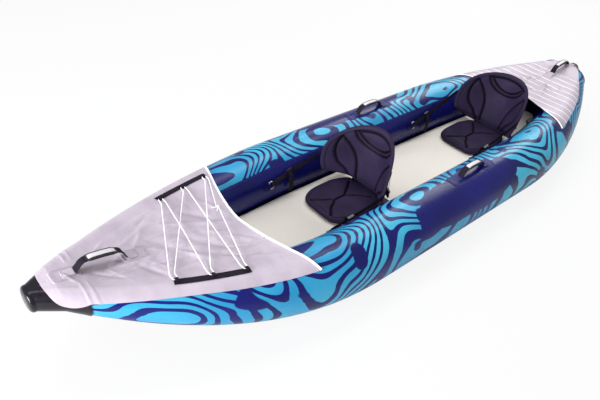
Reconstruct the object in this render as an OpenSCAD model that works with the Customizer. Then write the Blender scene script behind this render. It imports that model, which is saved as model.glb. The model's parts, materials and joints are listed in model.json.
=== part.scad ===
// Inflatable two-seat kayak: two air tubes, an air floor, two decks and two folding seats.
// X runs forward to the bow, Y to port and Z up. The origin is under the middle of the bottom skin.

/* [Hull] */
// Overall length from nose to nose
length = 3400; // [3300:10:3600]
// Diameter of each side tube amidships
tube_d = 262; // [254:1:270]
// Distance from the centre plane to a tube's axis amidships
tube_y = 321; // [316:1:335]
// Wall of the air tubes and of the air floor
skin_t = 1.2; // [0.8:0.1:2]
// Thickness of the bottom skin
bottom_t = 1.6; // [1:0.1:3]
// Clearance between pieces that lie on each other
gap = 0.3; // [0.2:0.05:0.5]
// Where the tubes begin to draw in towards the bow
bow_taper_x = 508; // [470:1:540]
// Where the tubes begin to draw in towards the stern
stern_taper_x = 562; // [530:1:590]
// Where the keel line begins to lift towards the bow
bow_rise_x = 638; // [600:1:680]
// Where the keel line begins to lift towards the stern
stern_rise_x = 557; // [530:1:600]
// Lift of the keel line at the bow
bow_rise = 308; // [280:1:330]
// Lift of the keel line at the stern
stern_rise = 240; // [210:1:260]
// Radius that the tubes taper to at the bow
bow_tip_r = 26; // [22:1:30]
// Radius that the tubes taper to at the stern
stern_tip_r = 43; // [38:1:48]

/* [Air floor] */
// Thickness of the air floor
floor_t = 75; // [60:1:85]
// Reach of the floor towards the bow
floor_fore_x = 1180; // [1150:1:1230]
// Reach of the floor towards the stern
floor_aft_x = 1150; // [1120:1:1200]

/* [Nose caps] */
// Length of the bow cap
bow_cap_l = 147; // [135:1:160]
// Length of the stern cap
stern_cap_l = 140; // [130:1:155]
// Wall of both caps
cap_wall = 2.5; // [2:0.1:3.5]

/* [Decks] */
// Thickness of the deck cloth
deck_t = 0.9; // [0.7:0.1:1.5]
// Aft edge of the front deck at the centre plane
front_deck_x = 933; // [900:1:960]
// How far that edge sweeps aft at the sides
front_deck_sweep = 97; // [70:1:120]
// Front edge of the rear deck at the centre plane, aft of the origin
rear_deck_x = 1034; // [1000:1:1060]
// How far that edge sweeps forward at the sides
rear_deck_sweep = 124; // [90:1:140]
// Angle above the tube's waist where the decks are glued down
deck_wrap = 54; // [46:1:62]
// Diameter of the edge piping
piping_d = 7; // [5:0.5:9]

/* [Lacing] */
// Diameter of the lacing cord
cord_d = 4; // [3:0.5:5]
// Width of the webbing strips that carry the lacing loops
strip_w = 25; // [20:1:30]
// Length of each webbing strip
strip_l = 247; // [240:1:270]
// Middle of the starboard strip, forward of the front deck's open edge
starboard_strip_x = 79; // [72:1:92]
// Middle of the port strip, forward of the front deck's open edge
port_strip_x = 250; // [237:1:262]
// Distance between neighbouring loops
loop_pitch = 113; // [105:1:118]

/* [Webbing] */
// Thickness of all webbing
webbing_t = 1.6; // [1.2:0.1:2]
// Width of the handle and seat webbing
webbing_w = 25; // [20:1:27]

/* [Handles] */
// Distance between the feet of a carrying handle
handle_span = 168; // [155:1:185]
// Height of a handle's grip over its feet
handle_h = 36; // [32:1:42]
// Length of the grip sleeve
grip_l = 104; // [90:1:112]
// Middle of the bow handle
bow_handle_x = 1462; // [1440:1:1475]
// Middle of the stern handle, aft of the origin
stern_handle_x = 1478; // [1460:1:1490]
// Middle of the side handles, aft of the origin
side_handle_x = 125; // [60:1:180]

/* [Seats] */
// Fold line of the front seat
front_seat_x = 176; // [140:1:210]
// Fold line of the rear seat
rear_seat_x = -823; // [-850:1:-790]
// Lean of the front backrest, aft of upright
front_lean = 5.5; // [2:0.5:12]
// Lean of the rear backrest, aft of upright
rear_lean = 20; // [14:0.5:24]
// Length of a seat base
base_l = 294; // [270:1:310]
// Width of a seat base
base_w = 256; // [230:1:280]
// Thickness of a seat base
base_t = 44; // [36:1:50]
// Height of a backrest
back_h = 306; // [280:1:320]
// Width of a backrest
back_w = 384; // [370:1:404]
// Thickness of a backrest
back_t = 36; // [30:1:42]
// How far the wings of a backrest curve forward
wing_reach = 150; // [100:1:160]

/* [Seat straps] */
// Front strap rings
front_ring_x = 621; // [590:1:640]
// Rear strap rings
rear_ring_x = -347; // [-370:1:-320]
// Wire of the strap rings
ring_wire_d = 5; // [4:0.5:5.5]
// Length of a strap's free tail
tail_l = 92; // [70:1:100]

/* [Valves] */
// Valves of the tubes and the floor, aft of the rear seat's fold line
valve_x = 57; // [47:1:72]
// Radius of a valve's flange
flange_r = 24; // [22:0.5:26]
// Radius of a valve's neck
neck_r = 15; // [14:0.5:16]
// Travel of a valve's stem
stem_travel = 5; // [3:0.5:6]

/* [Hidden] */
$fn = 48;

navy = [0.09, 0.11, 0.42];
lilac = [0.80, 0.78, 0.82];
cream = [0.91, 0.89, 0.85];
charcoal = [0.24, 0.21, 0.30];
soot = [0.11, 0.10, 0.12];
chalk = [0.95, 0.95, 0.96];
steel = [0.75, 0.76, 0.78];

// General helpers
function lerp(a, b, t) = a + (b - a) * t;
function clamp01(t) = min(1, max(0, t));
function ease(t) = let (c = clamp01(t)) c * c * (3 - 2 * c);
function unit(v) = v / norm(v);
function flip(list) = [for (i = [len(list) - 1:-1:0]) list[i]];
function flat(lists) = [for (l = lists) each l];
function mirrored(points) = [for (p = points) [-p[0], p[1]]];
function turn_x(a, p) = [p[0], p[1] * cos(a) - p[2] * sin(a), p[1] * sin(a) + p[2] * cos(a)];
function turn_z(a, p) = [p[0] * cos(a) - p[1] * sin(a), p[0] * sin(a) + p[1] * cos(a), p[2]];

// Skins and ends of a loft through rings of m points that turn left about the way they follow each other
function skin_faces(n, m, skip_k, skip_i, o) = [
  for (k = [0:n - 2]) for (i = [0:m - 1]) if (k != skip_k || i != skip_i)
    let (a = o + k * m + i, b = o + k * m + (i + 1) % m) each [[a, b + m, b], [a, a + m, b + m]]
];
function end_faces(m, o) = [
  for (i = [0:m / 2 - 2]) each [[o + i, o + i + 1, o + m - 2 - i], [o + i, o + m - 2 - i, o + m - 1 - i]]
];
function turned(faces) = [for (f = faces) [f[0], f[2], f[1]]];
function closed_faces(n, m, skip_k, skip_i, o) = concat(
  skin_faces(n, m, skip_k, skip_i, o), end_faces(m, o), turned(end_faces(m, o + (n - 1) * m)));

module loft(rings) {
  polyhedron(flat(rings), closed_faces(len(rings), len(rings[0]), -1, -1, 0));
}

// An air chamber: an outer and an inner skin that meet round one square valve opening
module chamber(outer, inner, hole_k, hole_i) {
  n = len(outer);
  m = len(outer[0]);
  a = hole_k * m + hole_i;
  rim = [a, a + m, a + m + 1, a + 1];
  walls = [for (j = [0:3]) let (p = rim[j], q = rim[(j + 1) % 4], in = n * m)
    each [[p, q, q + in], [p, q + in, p + in]]];
  polyhedron(concat(flat(outer), flat(inner)), concat(
    closed_faces(n, m, hole_k, hole_i, 0), turned(closed_faces(n, m, hole_k, hole_i, n * m)), walls));
}

// A round cord along points, with rings square to the way
function way(path, k) = unit(path[min(k + 1, len(path) - 1)] - path[max(k - 1, 0)]);
module cord(path, d, sides) {
  loft([for (k = [0:len(path) - 1])
    let (t = way(path, k), n = unit(cross([0, 0, 1], t)), b = cross(t, n))
      [for (i = [0:sides - 1]) path[k] + d / 2 * (cos(360 * i / sides) * n + sin(360 * i / sides) * b)]]);
}

// A flat webbing band along points, with the way its width runs at each
module ribbon(path, across, w, t) {
  loft([for (k = [0:len(path) - 1])
    let (d = way(path, k), s = unit(across[k] - d * (across[k] * d)), n = cross(d, s))
      [for (c = [[1, 1], [-1, 1], [-1, -1], [1, -1]]) path[k] + s * c[0] * w / 2 + n * c[1] * t / 2]]);
}

module rounded_plate(l, w, r, h) {
  linear_extrude(h) {
    square([l - 2 * r, w], center = true);
    square([l, w - 2 * r], center = true);
    for (x = [-1, 1], y = [-1, 1])
      translate([x * (l / 2 - r), y * (w / 2 - r)]) circle(r);
  }
}

// Hull lines: tube radius, axis and height, and the keel's lift, at any station
half_l = length / 2;
nose_trim = 12;
bow_tip_y = 4;
stern_tip_y = 8;
bow_plan_power = 2;
bow_radius_power = 2.3;
stern_plan_power = 1.8;
stern_radius_power = 2.1;
function bow_u(x) = clamp01((x - bow_taper_x) / (half_l - nose_trim - bow_taper_x));
function stern_u(x) = clamp01((-x - stern_taper_x) / (half_l + nose_trim - stern_taper_x));
function tube_r(x) = tube_d / 2 - (tube_d / 2 - bow_tip_r) * pow(bow_u(x), bow_radius_power)
  - (tube_d / 2 - stern_tip_r) * pow(stern_u(x), stern_radius_power);
function tube_c(x) = max(tube_r(x) + 2 * gap, tube_y - (tube_y - bow_tip_y) * pow(bow_u(x), bow_plan_power)
  - (tube_y - stern_tip_y) * pow(stern_u(x), stern_plan_power));
function rise(x) = bow_rise * pow(clamp01((x - bow_rise_x) / (half_l - nose_trim - bow_rise_x)), 2)
  + stern_rise * pow(clamp01((-x - stern_rise_x) / (half_l + nose_trim - stern_rise_x)), 2);
function tube_z(x) = rise(x) + bottom_t + gap + tube_r(x);

// Stations of the tubes, closer where they curve, with one pair on each side of the valves
tube_sides = 24;
bow_tube_x = half_l - bow_cap_l * 0.6;
stern_tube_x = half_l - stern_cap_l * 0.78;
valve_at = valve_x - rear_seat_x;
valve_cell = 40;
bow_steps = 14;
stern_steps_a = 3;
stern_steps_b = 9;
bow_stations = [for (i = [0:bow_steps]) lerp(bow_taper_x, bow_tube_x, pow(i / bow_steps, 0.9))];
stern_stations = concat(
  [for (i = [0:stern_steps_a]) lerp(stern_taper_x, valve_at - valve_cell / 2, i / stern_steps_a)],
  [for (i = [0:stern_steps_b]) lerp(valve_at + valve_cell / 2, stern_tube_x, i / stern_steps_b)]);
hull_stations = concat([for (x = flip(stern_stations)) -x], bow_stations);

// Tubes
tube_end = [[0.5, 0.35], [0.35, 0.75]];
function tube_station(x) = [x, tube_r(x), tube_c(x), tube_z(x)];
function end_station(x, f) = tube_station(x) + [sign(x) * f[0], f[1] - 1, f[1] - 1, 0] * tube_r(x);
tube_rows = concat([for (f = tube_end) end_station(-stern_tube_x, f)],
  [for (x = hull_stations) tube_station(x)],
  [for (f = flip(tube_end)) end_station(bow_tube_x, f)]);
function tube_ring(s, side, inset, shift) = [for (i = [0:tube_sides - 1])
  let (a = 360 * i / tube_sides, r = s[1] - inset)
    [s[0] + shift, side * s[2] + r * cos(a), s[3] + r * sin(a)]];
// Upper inboard cell of the tube's wall, where its valve sits
valve_angle = 142.5;
module air_tube(side) {
  n = len(tube_rows);
  cell = floor((side > 0 ? valve_angle : 180 - valve_angle) / (360 / tube_sides));
  chamber([for (s = tube_rows) tube_ring(s, side, 0, 0)],
    [for (k = [0:n - 1]) tube_ring(tube_rows[k], side, skin_t, k == 0 ? skin_t : k == n - 1 ? -skin_t : 0)],
    len(tube_end) + stern_steps_b, cell);
}
module port_tube() { color(navy) air_tube(1); }
module starboard_tube() { color(navy) air_tube(-1); }

// Air floor, between the tubes and on the bottom skin
floor_side_gap = 2;
floor_round = 70;
floor_draw = 0.3;
floor_plain = 1.4 * floor_round;
floor_bulge = 6;
floor_edge = 9;
floor_hatch = 22;
function floor_z(x) = rise(x) + bottom_t + 2 * gap;
function floor_top(x) = floor_z(x) + floor_t;
function floor_half(x) = let (h = tube_z(x) - floor_top(x), e = min(floor_fore_x - x, x + floor_aft_x))
  (tube_c(x) - sqrt(pow(tube_r(x), 2) - h * h) - floor_side_gap)
    * (1 - floor_draw * pow(clamp01(1 - e / floor_round), 2));
floor_ends = [0, 25, floor_round];
floor_rows = concat([for (e = floor_ends) e - floor_aft_x],
  [for (x = hull_stations) if (x > floor_plain - floor_aft_x && x < floor_fore_x - floor_plain) x],
  [for (e = flip(floor_ends)) floor_fore_x - e]);
function floor_ring(x, in, shift) = let (w = floor_half(x) - floor_bulge - in,
  lo = floor_z(x) + in, hi = floor_top(x) - in, mid = (lo + hi) / 2,
  upper = [[w, hi - floor_edge], [w - floor_edge, hi], [floor_hatch, hi]],
  lower = [[w + floor_bulge, mid], [w, lo + floor_edge], [w - floor_edge, lo]])
  [for (p = concat(upper, flip(mirrored(upper)), mirrored(lower), flip(lower))) [x + shift, p[0], p[1]]];
module air_floor() {
  n = len(floor_rows);
  color(cream) chamber([for (x = floor_rows) floor_ring(x, 0, 0)],
    [for (k = [0:n - 1]) floor_ring(floor_rows[k], skin_t, k == 0 ? skin_t : k == n - 1 ? -skin_t : 0)],
    search(-valve_at - valve_cell / 2, floor_rows)[0], 2);
}

// Bottom skin, from one tube's keel line to the other's
bottom_gap = 3;
bottom_aft = stern_cap_l + bottom_gap - half_l;
bottom_fore = half_l - bow_cap_l - bottom_gap;
bottom_step = 12;
bottom_rows = concat([bottom_aft],
  [for (x = hull_stations) if (x > bottom_aft + bottom_step && x < bottom_fore - bottom_step) x],
  [bottom_fore]);
module hull_bottom() {
  color(navy) loft([for (x = bottom_rows) let (half = [1, 0.6, 0.2, -0.2, -0.6, -1] * tube_c(x))
    concat([for (y = half) [x, y, rise(x) + bottom_t]], [for (y = flip(half)) [x, y, rise(x)]])]);
}

// Nose caps: half width, half height and height of the middle at a station, outside
cap_clear = 0.9;
cap_off = cap_clear + cap_wall;
bow_nose = [28, 45, 40, 16];
stern_nose = [32, 58, 44, 17];
nose_flat = 0.17;
nose_turns = [35, 60];
cap_rim_l = 20;
function cap_tube_x(x) = x > 0 ? bow_tube_x : -stern_tube_x;
function nose(x) = x > 0 ? bow_nose : stern_nose;
function cap_shape(x) = let (n = nose(x), xe = cap_tube_x(x), xn = half_l - n[0],
  e = abs(x) < abs(xe) ? x : xe,
  start = [tube_c(e) + tube_r(e) + cap_off, tube_r(e) + cap_off, tube_z(e)],
  tip = [n[1], n[2], tube_z(xe) + n[3]], s = clamp01((abs(x) - abs(xe)) / (xn - abs(xe))),
  c = max(nose_flat, sqrt(1 - pow(clamp01((abs(x) - xn) / n[0]), 2))),
  v = lerp(start, tip, s)) [v[0] * c, v[1] * c, v[2]];
cap_step = 360 / tube_sides;
// Side and angle of each point round a cap, with one pair on the flat above and one below
cap_round = concat([for (a = [0:cap_step:90]) [1, a]], [for (a = [90:cap_step:270]) [-1, a]],
  [for (a = [270:cap_step:359]) [1, a]]);
function cap_ring(x, in, shift) = let (c = cap_shape(x), b = c[1] - in) [for (p = cap_round)
  [x + shift, p[0] * (c[0] - c[1]) + b * cos(p[1]), c[2] + b * sin(p[1])]];
function cap_rows(end, cap_l) = let (n = nose(end), xe = abs(cap_tube_x(end)), xn = half_l - n[0],
  rim = half_l - cap_l, straight = [rim, rim + cap_rim_l, xe, (xe + xn) / 2, xn],
  rounded = [for (a = nose_turns) xn + n[0] * sin(a)])
  [for (x = concat(straight, rounded, [half_l])) end * x];
module nose_cap(end, cap_l) {
  rows = cap_rows(end, cap_l);
  n = len(rows);
  outer = [for (x = rows) cap_ring(x, 0, 0)];
  inner = [for (k = [0:n - 1]) cap_ring(rows[k], cap_wall, k == n - 1 ? -end * cap_wall : 0)];
  cup = concat(flip(inner), outer);
  if (end > 0) loft(cup);
  else loft(flip(cup));
}
module bow_cap() { color(soot) nose_cap(1, bow_cap_l); }
module stern_cap() { color(soot) nose_cap(-1, stern_cap_l); }

// What the decks lie on: flat half width, radius of the rounded side and height of its middle
deck_room = 0.9;
cap_room = 0.6;
deck_gap = gap + deck_room;
cap_lift = deck_gap + cap_room;
cap_ramp = 90;
cap_ramp_end = 6;
function deck_base(x) = let (rim = half_l - (x > 0 ? bow_cap_l : stern_cap_l), c = cap_shape(x),
  lift = lerp(deck_gap, cap_off + cap_lift, ease((abs(x) - rim + cap_ramp) / (cap_ramp - cap_ramp_end))))
  abs(x) < rim ? [tube_c(x), tube_r(x) + lift, tube_z(x)] : [c[0] - c[1], c[1] + cap_lift, c[2]];
// A point on the deck, d round the section from the centre plane and o above the deck's underside
function on_deck(x, d, o) = let (b = deck_base(x), a = (abs(d) - b[0]) / b[1] * 180 / PI)
  abs(d) <= b[0] ? [x, d, b[2] + b[1] + o]
  : [x, sign(d) * (b[0] + (b[1] + o) * sin(a)), b[2] + (b[1] + o) * cos(a)];
function wrap_reach(x, angle) = let (b = deck_base(x)) b[0] + b[1] * (90 - angle) * PI / 180;

// Half girth of each deck at a station, down to its rounded tongue over the nose cap
front_tongue_l = 107;
rear_tongue_l = 46;
front_tongue_x = half_l - bow_cap_l;
rear_tongue_set = 36;
rear_tongue_x = half_l - stern_cap_l + rear_tongue_set;
front_tip = 4;
rear_tip = 3;
front_drape = 44;
front_drape_l = 365;
front_drape_run = 370;
rear_wrap_more = 3;
rear_draw = 40;
rear_draw_l = 323;
function front_wrap(x) = deck_wrap
  - front_drape * pow(clamp01((x - front_tongue_x + front_drape_l) / front_drape_run), 2);
function front_girth(x) = wrap_reach(min(x, front_tongue_x), front_wrap(x))
  * pow(1 - clamp01((x - front_tongue_x) / (front_tongue_l + front_tip)), 0.75);
function rear_wrap(x) = deck_wrap + rear_wrap_more
  + rear_draw * pow(clamp01((-x - rear_tongue_x + rear_draw_l) / rear_draw_l), 1.5);
function rear_girth(x) = wrap_reach(max(x, -rear_tongue_x), rear_wrap(x))
  * pow(1 - clamp01((-x - rear_tongue_x) / (rear_tongue_l + rear_tip)), 0.5);

// Across a deck: shares of the girth at the open edge, and the same points at any station
arc_steps = 6;
edge_share = 0.77;
tongue_flat = 0.6;
deck_shares = concat([for (j = [arc_steps:-1:1]) lerp(edge_share, 1, j / arc_steps)],
  [1, 0.5, 0] * edge_share);
deck_span = concat(deck_shares, [for (j = [len(deck_shares) - 2:-1:0]) -deck_shares[j]]);
function deck_reach(i, girth, flat_w) = let (n = len(deck_span), h = (n - 1) / 2, k = i <= h ? i : n - 1 - i,
  inner = min(flat_w, tongue_flat * girth),
  d = k < arc_steps ? lerp(inner, girth, (arc_steps - k) / arc_steps)
    : inner * deck_shares[k] / edge_share) i <= h ? d : -d;
function front_edge_x(t) = front_deck_x - front_deck_sweep * pow(abs(t), 1.5);
function rear_edge_x(t) = rear_deck_sweep * pow(abs(t), 1.3) - rear_deck_x;
function front_point(x, i, o) = on_deck(x, deck_reach(i, front_girth(x), deck_base(x)[0]), o);
function rear_point(x, i, o) = on_deck(x, deck_reach(i, rear_girth(x), deck_base(x)[0]), o);
deck_rows = 13;
tongue_rows = 8;
function front_row_x(k, i) = k <= deck_rows ? lerp(front_edge_x(deck_span[i]), front_tongue_x, k / deck_rows)
  : front_tongue_x + front_tongue_l * sin(90 * (k - deck_rows) / tongue_rows);
function rear_row_x(k, i) = k <= deck_rows ? lerp(rear_edge_x(deck_span[i]), -rear_tongue_x, k / deck_rows)
  : -rear_tongue_x - rear_tongue_l * sin(90 * (k - deck_rows) / tongue_rows);
deck_n = len(deck_span) - 1;
module front_deck() {
  color(lilac) loft([for (k = [0:deck_rows + tongue_rows]) concat(
    [for (i = [0:deck_n]) front_point(front_row_x(k, i), i, deck_t)],
    [for (i = [deck_n:-1:0]) front_point(front_row_x(k, i), i, 0)])]);
}
module rear_deck() {
  color(lilac) loft([for (k = [deck_rows + tongue_rows:-1:0]) concat(
    [for (i = [0:deck_n]) rear_point(rear_row_x(k, i), i, deck_t)],
    [for (i = [deck_n:-1:0]) rear_point(rear_row_x(k, i), i, 0)])]);
}

// Piping sewn along the open edge of each deck
piping_shift = piping_d / 2 + gap;
piping_lift = piping_d / 2 - deck_gap + 3 * gap;
cord_sides = 8;
module front_deck_piping() {
  color(chalk) cord([for (i = [0:deck_n])
    front_point(front_edge_x(deck_span[i]) - piping_shift, i, piping_lift)], piping_d, cord_sides);
}
module rear_deck_piping() {
  color(chalk) cord([for (i = [0:deck_n])
    rear_point(rear_edge_x(deck_span[i]) + piping_shift, i, piping_lift)], piping_d, cord_sides);
}

// Webbing strips along the tube tops, each with loops that the lacing cord turns in
strip_inset = 4;
strip_rows = 8;
loop_play = 2;
loop_r = cord_d + loop_play;
loop_w = 11;
loop_sink = 0.9;
loops = [-1, 0, 1];
function strip_x(side) = front_deck_x + (side > 0 ? port_strip_x : starboard_strip_x);
function strip_mid(x) = deck_base(x)[0] + strip_inset;
module lace_strip(side) {
  mid_x = strip_x(side);
  lo = deck_t + gap;
  hi = lo + webbing_t;
  loft([for (k = [0:strip_rows]) let (x = mid_x + strip_l * (k / strip_rows - 0.5), m = side * strip_mid(x))
    concat([for (e = [1, 0, -1]) on_deck(x, m + e * strip_w / 2, hi)],
      [for (e = [-1, 0, 1]) on_deck(x, m + e * strip_w / 2, lo)])]);
  for (j = loops) let (x = mid_x + j * loop_pitch)
    translate(on_deck(x, side * strip_mid(x), hi - loop_sink))
      rotate([90, 0, 90])
        linear_extrude(loop_w, center = true)
          difference() {
            circle(loop_r + webbing_t);
            circle(loop_r);
            translate([0, -2 * loop_r]) square(4 * loop_r, center = true);
          }
}
module port_lace_strip() { color(soot) lace_strip(1); }
module starboard_lace_strip() { color(soot) lace_strip(-1); }

// Lacing: one cord that turns in all six loops, its two ends tied on the aftmost starboard strand
cord_room = 0.4;
cord_lift = deck_t + gap + webbing_t + cord_d / 2 + cord_room;
cross_lift = 2 * cord_d + cord_room;
knot_at = 0.38;
knot_d = 13;
knot_lift = 2;
knot_from = [4, -2, 0];
knot_to = [-2, 3, 0];
lace_tail_l = 26;
lace_tail_turns = [-20, 50];
lace_tail_dip = 88;
// Points of a turn from the strand that comes in to the one that goes out, towards the middle of the deck
turn_route = [[9, 26], [9, 8], [6, 1], [-6, 1], [-9, 8], [-9, 26]];
function loop_x(side, j) = strip_x(side) + j * loop_pitch;
function lace_turn(side, j, from) = let (x = loop_x(side, j)) [for (p = turn_route)
  on_deck(x + from * p[0], side * (strip_mid(x) - p[1]), cord_lift)];
function over(a, b) = (a + b) / 2 + [0, 0, cross_lift];
knot_point = lerp(on_deck(loop_x(-1, -1), -strip_mid(loop_x(-1, -1)), cord_lift),
  on_deck(loop_x(1, -1), strip_mid(loop_x(1, -1)), cord_lift), knot_at) + [0, 0, knot_lift];
// Side of the deck, loop on that side, and whether the cord comes in aft or forward of it
turn_order = [[-1, -1, -1], [1, 0, -1], [-1, 1, -1], [1, 1, 1], [-1, 0, 1], [1, -1, 1]];
turns = [for (t = turn_order) lace_turn(t[0], t[1], t[2])];
lace_route = concat([knot_point + knot_from], turns[0], [over(turns[0][5], turns[1][0])], turns[1],
  [over(turns[1][5], turns[2][0])], turns[2], turns[3], turns[4], turns[5], [knot_point + knot_to]);
module deck_lacing() {
  color(chalk) {
    cord(lace_route, cord_d, cord_sides);
    translate(knot_point) sphere(d = knot_d);
    for (a = lace_tail_turns)
      translate(knot_point) rotate([0, lace_tail_dip, a]) cylinder(d = cord_d, h = lace_tail_l);
  }
}

// Carrying handles: patches with webbing feet, a webbing arch and a grip sleeve
patch_t = 1.5;
patch_l = 62;
patch_w = 36;
patch_r = 10;
foot_l = 30;
foot_gap = 1.2;
patch_in = 10;
patch_bed = 0.2;
grip_h = 15;
grip_w = 32;
grip_trim = 4;
// Heights of the arch over its feet, and how far in from them and from the grip it bends
arch_foot_h = 0.5;
arch_toe_h = 5.5;
arch_toe = 7;
arch_knee = 6;
arch_knee_drop = 5;
foot_z = gap + patch_t;
web_z = foot_z + webbing_t / 2;
function deck_top(x) = on_deck(x, 0, deck_t)[2];
// A foot's plate lies along the deck, over the highest point under it
function patch_ends(foot, e) = [deck_top(foot - e * patch_in), deck_top(foot + e * (patch_l - patch_in))];
function patch_hump(foot, e) = let (z = patch_ends(foot, e))
  max([for (t = [0:0.1:1]) deck_top(foot + e * (patch_l * t - patch_in)) - lerp(z[0], z[1], t)]);
function patch_seat(foot, e) = let (z = patch_ends(foot, e))
  lerp(z[0], z[1], patch_in / patch_l) + patch_hump(foot, e) + patch_bed;
function foot_seat(x, e) = patch_seat(x + e * handle_span / 2, e);
function deck_slope(x) = atan2(foot_seat(x, 1) - foot_seat(x, -1), handle_span);
function deck_foot(x) = (foot_seat(x, 1) + foot_seat(x, -1)) / 2;
module on_handle_deck(x) { translate([x, 0, deck_foot(x)]) rotate([0, -deck_slope(x), 0]) children(); }
module on_bow() { on_handle_deck(bow_handle_x) children(); }
module on_stern() { on_handle_deck(-stern_handle_x) children(); }
module on_side(side) {
  translate([-side_handle_x, side * tube_c(-side_handle_x), tube_z(0) + tube_r(0)]) children();
}
// One foot, from the end of the arch outwards
module handle_foot() {
  translate([patch_l / 2 - patch_in, 0, gap]) rounded_plate(patch_l, patch_w, patch_r, patch_t);
  translate([foot_l / 2, 0, web_z]) cube([foot_l, webbing_w, webbing_t], center = true);
}
module side_patches() {
  for (e = [0, 180]) rotate(e) translate([handle_span / 2, 0, 0]) handle_foot();
}
module deck_patches(x) {
  for (e = [-1, 1]) {
    foot = x + e * handle_span / 2;
    z = patch_ends(foot, e);
    translate([foot, 0, patch_seat(foot, e)])
      rotate([0, 0, e > 0 ? 0 : 180]) rotate([0, -atan2(z[1] - z[0], patch_l), 0]) handle_foot();
  }
}
module handle_strap() {
  foot = handle_span / 2 - foot_gap;
  knee = grip_l / 2 + arch_knee;
  half = [[foot, web_z + arch_foot_h], [foot - arch_toe, web_z + arch_toe_h],
    [knee, handle_h - arch_knee_drop], [grip_l / 2, handle_h]];
  path = concat([for (p = half) [-p[0], 0, p[1]]], [for (p = flip(half)) [p[0], 0, p[1]]]);
  ribbon(path, [for (p = path) [0, 1, 0]], webbing_w, webbing_t);
}
module handle_grip() {
  translate([0, 0, handle_h])
    rotate([90, 0, 90])
      linear_extrude(grip_l - grip_trim, center = true)
        difference() {
          union() {
            square([grip_w - grip_h, grip_h], center = true);
            for (e = [-1, 1]) translate([e * (grip_w - grip_h) / 2, 0]) circle(grip_h / 2);
          }
          square([webbing_w + 2 * gap, webbing_t + 2 * gap], center = true);
        }
}
module bow_handle_patches() { color(lilac) deck_patches(bow_handle_x); }
module bow_handle_strap() { color(soot) on_bow() handle_strap(); }
module bow_handle_grip() { color(chalk) on_bow() handle_grip(); }
module stern_handle_patches() { color(lilac) deck_patches(-stern_handle_x); }
module stern_handle_strap() { color(soot) on_stern() handle_strap(); }
module stern_handle_grip() { color(chalk) on_stern() handle_grip(); }
module port_handle_patches() { color(navy) on_side(1) side_patches(); }
module port_handle_strap() { color(soot) on_side(1) handle_strap(); }
module port_handle_grip() { color(chalk) on_side(1) handle_grip(); }
module starboard_handle_patches() { color(navy) on_side(-1) side_patches(); }
module starboard_handle_strap() { color(soot) on_side(-1) handle_strap(); }
module starboard_handle_grip() { color(chalk) on_side(-1) handle_grip(); }

// Seats: a backrest with forward wings that folds on a seam behind a padded base
seam_h = 13;
seam_gap = 6;
base_gap = 12;
edge_t = 14;
wing_low_s = 8;
wing_s = 36;
back_wide_s = 120;
back_foot_w = 300;
back_round = 2.2;
back_u = 0.985;
pad_power = 4;
function seam_z(hx) = floor_top(hx) + seam_h;
function wing(y, s) = wing_reach * pow(2 * y / back_w, 2) * sin(90 * clamp01((s - wing_low_s) / wing_s));
function back_low(y) = let (f = clamp01((2 * abs(y) - back_foot_w) / (back_w - back_foot_w)))
  max(seam_gap, back_wide_s * (1 - sqrt(1 - f * f)));
function back_high(y) = back_wide_s
  + (back_h - back_wide_s) * pow(1 - pow(clamp01(2 * abs(y) / back_w), back_round), 1 / back_round);
function domed(t, power) = max(0, 1 - pow(abs(t), power));
function pad_t(u, v) = edge_t
  + (back_t - edge_t) * sqrt(domed(u / back_u, pad_power) * domed(2 * v - 1, pad_power));
// Sewn channels: one beside each wing and one across under the top
channel_d = 5;
channel_u = 0.46;
channel_u_w = 0.04;
channel_u_fade = 5;
channel_v = 0.74;
channel_v_w = 0.03;
channel_v_half = 0.44;
function groove(a, b, w) = exp(-pow((a - b) / w, 2));
function back_channel(u, v) = channel_d * max(
  groove(abs(u), channel_u, channel_u_w) * ease(v * channel_u_fade),
  abs(u) < channel_v_half ? groove(v, channel_v, channel_v_w) : 0);
function back_n(u, v, face) = face > 0 ? pad_t(u, v) / 2 - back_channel(u, v) : -pad_t(u, v) / 2;
function back_space(hx, lean, y, s, n) = let (f = wing(y, s) + n)
  [hx - s * sin(lean) + f * cos(lean), y, seam_z(hx) + s * cos(lean) + f * sin(lean)];
function back_point(hx, lean, u, v, face, off) = let (y = u * back_w / 2)
  back_space(hx, lean, y, lerp(back_low(y), back_high(y), v), back_n(u, v, face) + face * off);
back_us = [0, 0.14, 0.28, 0.4, 0.46, 0.52, 0.64, 0.76, 0.87, 0.95, back_u];
back_vs = [0, 0.06, 0.16, 0.3, 0.45, 0.6, 0.69, 0.74, 0.79, 0.88, 0.96, 1];
rear_vs = [0, 0.06, 0.2, 0.4, 0.6, 0.8, 0.95, 1];
module backrest(hx, lean) {
  us = concat([for (u = flip(back_us)) -u], [for (u = back_us) if (u > 0) u]);
  loft([for (u = us) concat([for (v = rear_vs) back_point(hx, lean, u, v, -1, 0)],
    [for (v = flip(back_vs)) back_point(hx, lean, u, v, 1, 0)])]);
}

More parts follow.
